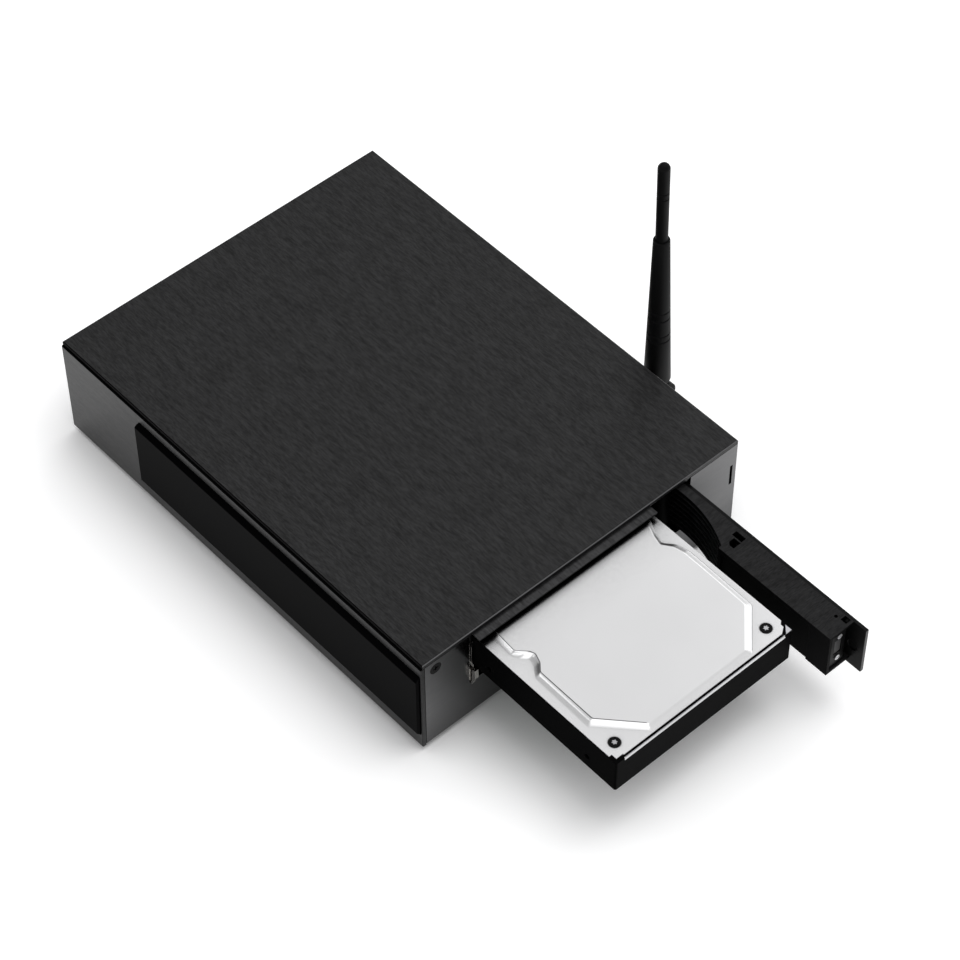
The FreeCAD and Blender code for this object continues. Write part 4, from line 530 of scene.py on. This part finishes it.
def soft_corners(points, radius):
    """Rounds the corners of a closed outline of 2-D points."""
    rounded = []
    count = len(points)
    for index, corner in enumerate(points):
        before = points[index - 1] - corner
        after = points[(index + 1) % count] - corner
        reach = min(radius, before.length * CORNER_SHARE, after.length * CORNER_SHARE)
        start = corner + before.normalized() * reach
        end = corner + after.normalized() * reach
        for step in range(CORNER_STEPS + 1):
            share = step / CORNER_STEPS
            first = start.lerp(corner, share)
            second = corner.lerp(end, share)
            rounded.append(first.lerp(second, share))
    return rounded


def inset(points, distance):
    """Moves a closed anticlockwise outline inward by a distance."""
    moved = []
    count = len(points)
    for index, point in enumerate(points):
        into = (point - points[index - 1]).normalized()
        out = (points[(index + 1) % count] - point).normalized()
        side = Vector((-into.y, into.x))
        left = (side + Vector((-out.y, out.x))).normalized()
        moved.append(point + left * distance / max(MITRE_LIMIT, left.dot(side)))
    return moved


def joint_place(name):
    joints = frame["record"]["behaviour"]["joints"]
    return Vector(next(joint for joint in joints if joint["name"] == name)["pos_m"])


# ---------------------------------------------------------------- hard drive

CAST_LOW, CAST_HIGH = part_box("drive_casting")
LID_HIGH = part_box("drive_lid")[1]
LID_SHEET = 0.6
LID_RISE = 1.0
LID_CHAMFER = 0.12
FOOT_CORNER = 1.0
CROWN_CORNER = 0.8
# Across this band of the drive, the slope changes from its near form to its far form.
BAND_START = 30.0
BAND_WIDTH = 40.0
# A side of the plateau that points further than this towards the drive's outer end has no crease.
OUTER_END = 0.8
# Section of the plateau's slope: (share of the way from foot to crown, share of the rise on
# the near side, share of the rise on the far side).
LID_SLOPE = (
    (0.0, 0.0, 0.0), (0.06, 0.03, 0.02), (0.12, 0.075, 0.07), (0.5, 0.36, 0.47),
    (0.62, 0.52, 0.6), (0.88, 0.93, 0.9), (0.98, 0.985, 0.98), (1.03, 1.0, 1.0),
)
# The slope's foot and crown and the lid's edge, point for point, in millimetres: (in from the
# drive's outer end, across from its near side).
PLATEAU_FOOT = [
    (2.2, 21.4), (21.0, 3.6), (53.2, 4.4), (58.7, 8.0), (62.4, 9.4), (65.9, 5.6), (69.4, 4.8),
    (80.6, 5.2), (128.0, 5.2), (141.0, 20.0), (141.0, 82.0), (128.0, 97.6), (81.6, 98.2),
    (75.1, 94.9), (69.8, 93.4), (65.2, 97.4), (59.5, 98.9), (50.1, 98.9), (20.4, 98.2),
    (2.7, 80.4),
]
PLATEAU_CROWN = [
    (5.6, 23.4), (22.6, 8.0), (53.9, 8.2), (57.4, 11.3), (62.2, 13.1), (64.8, 12.2), (69.3, 7.6),
    (80.0, 8.4), (126.5, 8.4), (137.8, 21.2), (137.8, 80.8), (126.6, 94.6), (81.0, 95.4),
    (74.8, 92.8), (69.4, 91.4), (64.9, 94.6), (59.1, 95.9), (50.4, 95.9), (22.2, 95.4),
    (5.4, 78.6),
]
LID_OUTLINE = [
    (140.5, 0.25), (4.5, 0.25), (4.5, 1.65), (1.8, 1.65), (1.8, 5.25), (1.25, 5.25),
    (1.25, 96.55), (3.5, 99.75), (5.1, 99.75), (6.5, 101.35), (140.5, 101.35), (146.5, 95.35),
    (146.5, 6.25),
]


def on_drive(inward, across, rise):
    """Millimetres in from the outer end, across from the near side, above the lid's flange."""
    return Vector((CAST_HIGH.x - inward * MM, CAST_LOW.y + across * MM,
                   LID_HIGH.z + (rise - LID_RISE) * MM))


def outline_of(points):
    """An outline as 2-D vectors: outward along the drive, and across it."""
    return [Vector((-inward, across)) for inward, across in points]


def raised(outline, rise):
    return [on_drive(-point.x, point.y, rise) for point in outline]


def crease(rings, foot, crown):
    """Painted shade in the stamped crease, as darker metal: at the crown on the near sides, at
    the foot beyond.
    """
    count = len(foot)
    for step in range(count):
        after = (step + 1) % count
        out = (foot[step] + foot[after] - crown[step] - crown[after]).normalized()
        if out.x > OUTER_END:
            continue
        pair = (-3, -2) if out.y < 0.0 else (0, 1)
        corners = {rings[level][place] for level in pair for place in (step, after)}
        for face in rings[pair[0]][step].link_faces:
            if set(face.verts) == corners:
                face.material_index = 1


def make_lid():
    """Stamped lid whose plateau rises in a smooth step."""
    drawing = bmesh.new()
    outline = outline_of(LID_OUTLINE)
    foot = soft_corners(outline_of(PLATEAU_FOOT)[::-1], FOOT_CORNER)
    crown = soft_corners(outline_of(PLATEAU_CROWN)[::-1], CROWN_CORNER)
    edge_low = add_ring(drawing, raised(outline, -LID_SHEET))
    edge_mid = add_ring(drawing, raised(outline, -LID_CHAMFER))
    flange = add_ring(drawing, raised(inset(outline, LID_CHAMFER), 0.0))
    bridge(drawing, edge_low, edge_mid, flange)
    rings = []
    for share, near_rise, far_rise in LID_SLOPE:
        ring = []
        for low, high in zip(foot, crown):
            point = low.lerp(high, share)
            far = min(1.0, max(0.0, (point.y - BAND_START) / BAND_WIDTH))
            rise = (near_rise + (far_rise - near_rise) * far) * LID_RISE
            ring.append(on_drive(-point.x, point.y, rise))
        rings.append(add_ring(drawing, ring))
    close_between(drawing, flange, rings[0])
    bridge(drawing, *rings)
    close_between(drawing, rings[-1])
    close_between(drawing, edge_low)
    crease(rings, foot, crown)
    piece_from("stamped_lid", drawing, "drive", "drive_steel", ["drive_lid"], extra=CREASE_PAINTED_SHADE)


# Middles of the lid's screws, as the outlines are given.
LID_SCREWS = ((8.2, 6.7), (7.9, 93.7), (140.1, 7.9), (140.1, 93.7))
SCREW_STEPS = 36
SCREW_RADIUS = 2.7
HEAD_CHAMFER = 0.25
HEAD_TOP = 0.38
# A screw head from its foot to its rim: (radius, height above the lid's flange).
HEAD_RINGS = ((SCREW_RADIUS, 0.02), (SCREW_RADIUS, 0.25), (SCREW_RADIUS - HEAD_CHAMFER, HEAD_TOP))
RECESS_FLOOR = 0.1
STAR_LOBES = 6
STAR_OUTER = 1.55
STAR_INNER = 1.0
# The bright metal that shows in the recess: (height, share of the recess's width).
BRIGHT_LOW = (0.12, 0.97)
BRIGHT_HIGH = (0.3, 0.8)


def around(centre, rise, radius_at):
    """Points about a centre on the drive, at a radius that may change with the turn."""
    points = []
    for turn in turns(SCREW_STEPS):
        radius = radius_at(turn)
        points.append(on_drive(centre[0] - radius * math.cos(turn),
                               centre[1] + radius * math.sin(turn), rise))
    return points


def star(centre, rise, scale=1.0):
    """Outline of a six-lobed driver recess."""
    def radius_at(turn):
        swell = 0.5 + 0.5 * math.cos(STAR_LOBES * turn)
        return (STAR_INNER + (STAR_OUTER - STAR_INNER) * swell) * scale

    return around(centre, rise, radius_at)


def make_lid_screws():
    """Black heads with a six-lobed recess that shows bright metal."""
    heads = bmesh.new()
    floors = bmesh.new()
    for centre in LID_SCREWS:
        rings = [add_ring(heads, around(centre, rise, lambda turn, radius=radius: radius))
                 for radius, rise in HEAD_RINGS]
        rim = add_ring(heads, star(centre, HEAD_TOP))
        floor_edge = add_ring(heads, star(centre, RECESS_FLOOR))
        bridge(heads, *rings, rim, floor_edge)
        close_between(heads, floor_edge)
        low = add_ring(floors, star(centre, *BRIGHT_LOW))
        high = add_ring(floors, star(centre, *BRIGHT_HIGH))
        bridge(floors, low, high)
        close_between(floors, high)
    piece_from("lid_screw_heads", heads, "drive", "screw_black", ["lid_screws"])
    piece_from("lid_screw_recesses", floors, "drive", "screw_steel")


# Machined spots of the casting beside the lid: (outline, height of the top, chamfer).
MACHINED_SPOTS = (
    (((0.25, 101.35), (4.3, 101.35), (0.25, 97.7)), -0.25, 0.15),
    (((0.04, 4.9), (0.04, 96.6), (0.4, 96.2), (0.4, 5.3)), -0.3, 0.1),
)
SPOT_FOOT = -0.62


def make_machined_edges():
    """Bright machined corner and end rim of the casting, beside the lid."""
    drawing = bmesh.new()
    for spot, top, chamfer in MACHINED_SPOTS:
        outline = outline_of(spot)
        if sum(a.cross(b) for a, b in zip(outline, outline[1:] + outline[:1])) < 0:
            outline.reverse()
        rings = [add_ring(drawing, raised(inset(outline, inward), rise))
                 for inward, rise in ((0.0, SPOT_FOOT), (0.0, top - chamfer), (chamfer, top))]
        bridge(drawing, *rings)
        close_between(drawing, rings[0])
        close_between(drawing, rings[-1])
    piece_from("casting_machined_edges", drawing, "drive", "works_aluminium")


make_lid()
make_lid_screws()
make_machined_edges()


# ---------------------------------------------------------------- antenna

LEAN = math.radians(1.4)
# Millimetres up the antenna from its pivot, to the row frame.
AERIAL = (Matrix.Translation(joint_place("antenna_tilt")) @ Matrix.Rotation(-LEAN, 4, "Y")
          @ Matrix.Scale(MM, 4))
ROOT_RADIUS = 6.3
NECK_RADIUS = 3.85
WHIP_RADIUS = 2.85
SLEEVE_LOW = 6.7
SLEEVE_TOP = 94.6
WHIP_TOP = 139.3
SLEEVE_GROOVES = (34.5, 38.1, 47.6, 52.3)
WHIP_GROOVES = (120.0, 123.3)
SLEEVE_GROOVE_DEPTH = 0.35
WHIP_GROOVE_DEPTH = 0.3
GROOVE_HALF = 0.45
GROOVE_FLOOR_HALF = 0.15
# The visible sleeve and whip stay this much inside the CAD's.
SKIN = 0.02
# The sleeve's root and mouth, and how deep the whip stands in it.
ROOT_ROUND = 1
ROOT_STEP = 0.35
ROOT_RISE = 0.3
MOUTH_ROUND = 0.5
MOUTH_CHAMFER = 0.15
MOUTH_GAP = 0.15
MOUTH_DEPTH = 1.5
WHIP_DEPTH = 1.4
DOME_STEPS = 8
# The tongue that holds the hinge pin.
TONGUE_RADIUS = 5.2
TONGUE_NECK = 4.3
TONGUE_HALF = 1.95
TONGUE_STEPS = 12
TONGUE_TOP = SLEEVE_LOW + 0.6


def grooved(radius_at, low, high, grooves, depth):
    """A profile between two heights with V-shaped grooves."""
    profile = [(radius_at(low), low)]
    for height in grooves:
        for offset, cut in ((-GROOVE_HALF, 0.0), (-GROOVE_FLOOR_HALF, depth),
                            (GROOVE_FLOOR_HALF, depth), (GROOVE_HALF, 0.0)):
            profile.append((radius_at(height + offset) - cut, height + offset))
    profile.append((radius_at(high), high))
    return profile


def add_tongue(sleeve):
    """The rounded tongue below the sleeve, around the hinge pin."""
    outline = [(-TONGUE_NECK, TONGUE_TOP), (-TONGUE_RADIUS, 0.0)]
    for step in range(1, TONGUE_STEPS):
        turn = math.pi * (1 + step / TONGUE_STEPS)
        outline.append((TONGUE_RADIUS * math.cos(turn), TONGUE_RADIUS * math.sin(turn)))
    outline += [(TONGUE_RADIUS, 0.0), (TONGUE_NECK, TONGUE_TOP)]
    sides = [add_ring(sleeve, [AERIAL @ Vector((across, y, z)) for y, z in outline])
             for across in (-TONGUE_HALF, TONGUE_HALF)]
    bridge(sleeve, *sides)
    for side in sides:
        close_between(sleeve, side)


def make_sleeve():
    """Tapered, grooved sleeve with its hinge tongue."""
    slope = (ROOT_RADIUS - NECK_RADIUS) / (SLEEVE_TOP - SLEEVE_LOW - ROOT_ROUND)

    def taper(height):
        return ROOT_RADIUS - (height - SLEEVE_LOW - ROOT_ROUND) * slope - SKIN

    sleeve = bmesh.new()
    profile = [(0, SLEEVE_LOW), (ROOT_RADIUS - ROOT_ROUND, SLEEVE_LOW),
               (ROOT_RADIUS - ROOT_STEP, SLEEVE_LOW + ROOT_RISE)]
    profile += grooved(taper, SLEEVE_LOW + ROOT_ROUND, SLEEVE_TOP - MOUTH_ROUND, SLEEVE_GROOVES,
                       SLEEVE_GROOVE_DEPTH)
    profile += [(NECK_RADIUS - MOUTH_CHAMFER, SLEEVE_TOP - MOUTH_CHAMFER),
                (NECK_RADIUS - MOUTH_ROUND, SLEEVE_TOP),
                (WHIP_RADIUS + MOUTH_GAP, SLEEVE_TOP),
                (WHIP_RADIUS + MOUTH_GAP, SLEEVE_TOP - MOUTH_DEPTH),
                (0, SLEEVE_TOP - MOUTH_DEPTH)]
    lathe(sleeve, profile, AERIAL)
    add_tongue(sleeve)
    piece_from("antenna_sleeve_grooved", sleeve, "antenna_mast", "antenna_black",
               ["antenna_sleeve"])


def make_whip():
    """Thin whip with two grooves and a domed tip."""
    whip = bmesh.new()
    foot = SLEEVE_TOP - WHIP_DEPTH
    profile = [(0, foot)]
    profile += grooved(lambda height: WHIP_RADIUS - SKIN, foot, WHIP_TOP - WHIP_RADIUS,
                       WHIP_GROOVES, WHIP_GROOVE_DEPTH)
    for step in range(1, DOME_STEPS):
        turn = math.pi / 2 * step / DOME_STEPS
        profile.append((WHIP_RADIUS * math.cos(turn),
                        WHIP_TOP - WHIP_RADIUS * (1 - math.sin(turn))))
    profile.append((0, WHIP_TOP))
    lathe(whip, profile, AERIAL)
    piece_from("antenna_whip_domed", whip, "antenna_mast", "antenna_black", ["antenna_whip"])


make_sleeve()
make_whip()


# ---------------------------------------------------------------- floor and light

FLOOR_HALF = 6.0
FLOOR_TONE = (0.80, 0.80, 0.80)
FLOOR_TONE_SEEN = (0.88, 0.88, 0.88)
FLOOR_GLOW = 0.4
SHADOW_REACH = 0.06
SHADOW_POWER = 1.5


def make_floor():
    """A pale floor that looks white to the camera and in reflections, keeps the shadow, and has
    painted shadow in its glow close to the object.
    """
    drawing = bmesh.new()
    bmesh.ops.create_grid(drawing, x_segments=1, y_segments=1, size=FLOOR_HALF)
    mesh = bpy.data.meshes.new("floor")
    drawing.to_mesh(mesh)
    drawing.free()
    kit = Nodes("floor")
    rays = kit.node("LightPath").outputs
    mirrored = kit.math("MAXIMUM", rays["Is Glossy Ray"], rays["Is Transmission Ray"])
    seen = kit.math("MAXIMUM", rays["Is Camera Ray"], mirrored)
    # The glow fades close to the object: painted shadow, added to the shadow that the lamps cast.
    glow_with_painted_shadow = kit.math("MULTIPLY", kit.painted_shade_factor(SHADOW_REACH, SHADOW_POWER), FLOOR_GLOW)
    kit.set("Base Color", kit.mix(seen, FLOOR_TONE, FLOOR_TONE_SEEN))
    kit.set("Roughness", 0.9)
    kit.set("Specular IOR Level", 0.0)
    kit.set("Emission Color", (1.0, 1.0, 1.0))
    kit.set("Emission Strength", kit.math("MULTIPLY", seen, glow_with_painted_shadow))
    mesh.materials.append(kit.material)
    floor = bpy.data.objects.new("floor", mesh)
    scene.collection.objects.link(floor)


KEY_PLACE = Vector((0.35, 0.3, 1.75))
KEY_AIM = Vector((0.0, 0.0, 0.03))
KEY_SIZE = 1.1
KEY_WATTS = 12.0


def make_key_light():
    """A large soft lamp, which the pieces don't mirror."""
    lamp = bpy.data.lights.new("key", "AREA")
    lamp.shape = "SQUARE"
    lamp.size = KEY_SIZE
    lamp.energy = KEY_WATTS
    key = bpy.data.objects.new("key", lamp)
    key.location = KEY_PLACE
    key.rotation_euler = (KEY_AIM - KEY_PLACE).to_track_quat("-Z", "Y").to_euler()
    key.visible_glossy = False
    scene.collection.objects.link(key)


WORLD_TINT = (0.99, 0.99, 1.0, 1.0)
# The dome's strength at the horizon, and from DOME_HEIGHT (the sine of a height) upwards.
DOME_LOW = 0.2
DOME_HIGH = 0.5
DOME_HEIGHT = 0.75
LEAST_STRENGTH = 0.02
BOX_EDGE_DEGREES = 3
# Soft boxes in the dome: (direction, half angle in degrees, strength that it adds).
SOFTBOXES = (
    ((-0.47, 0.41, 0.78), 17.0, 0.34),
    ((-0.47, -0.28, 0.83), 9.0, 1.2),
    ((-0.02, -0.03, 1.0), 14.0, 1.1),
    ((0.13, 0.41, 0.90), 19.0, 0.34),
    ((-0.86, -0.08, 0.50), 20.0, -0.35),
    ((-0.22, 0.80, 0.56), 20.0, 0.95),
)


def make_world():
    """A grey dome, darker towards the horizon, with soft boxes in it."""
    world = bpy.data.worlds.new("studio")
    world.use_nodes = True
    tree = world.node_tree
    background = tree.nodes["Background"]
    background.inputs["Color"].default_value = WORLD_TINT
    towards = tree.nodes.new("ShaderNodeTexCoord").outputs["Generated"]

    def fade(value, low, high, start, end):
        made = tree.nodes.new("ShaderNodeMapRange")
        made.interpolation_type = "SMOOTHSTEP"
        limits = {"From Min": low, "From Max": high, "To Min": start, "To Max": end}
        for socket, number in limits.items():
            made.inputs[socket].default_value = number
        tree.links.new(value, made.inputs["Value"])
        return made.outputs["Result"]

    split = tree.nodes.new("ShaderNodeSeparateXYZ")
    tree.links.new(towards, split.inputs[0])
    total = fade(split.outputs["Z"], 0.0, DOME_HEIGHT, DOME_LOW, DOME_HIGH)
    for direction, half_angle, strength in SOFTBOXES:
        dot = tree.nodes.new("ShaderNodeVectorMath")
        dot.operation = "DOT_PRODUCT"
        tree.links.new(towards, dot.inputs[0])
        dot.inputs[1].default_value = Vector(direction).normalized()
        edge = math.cos(math.radians(half_angle + BOX_EDGE_DEGREES))
        core = math.cos(math.radians(half_angle - BOX_EDGE_DEGREES))
        adding = tree.nodes.new("ShaderNodeMath")
        tree.links.new(fade(dot.outputs["Value"], edge, core, 0.0, strength), adding.inputs[0])
        tree.links.new(total, adding.inputs[1])
        total = adding.outputs[0]
    never_dark = tree.nodes.new("ShaderNodeMath")
    never_dark.operation = "MAXIMUM"
    tree.links.new(total, never_dark.inputs[0])
    never_dark.inputs[1].default_value = LEAST_STRENGTH
    tree.links.new(never_dark.outputs[0], background.inputs["Strength"])
    scene.world = world


make_floor()
make_world()
make_key_light()

scene.view_settings.view_transform = "Standard"
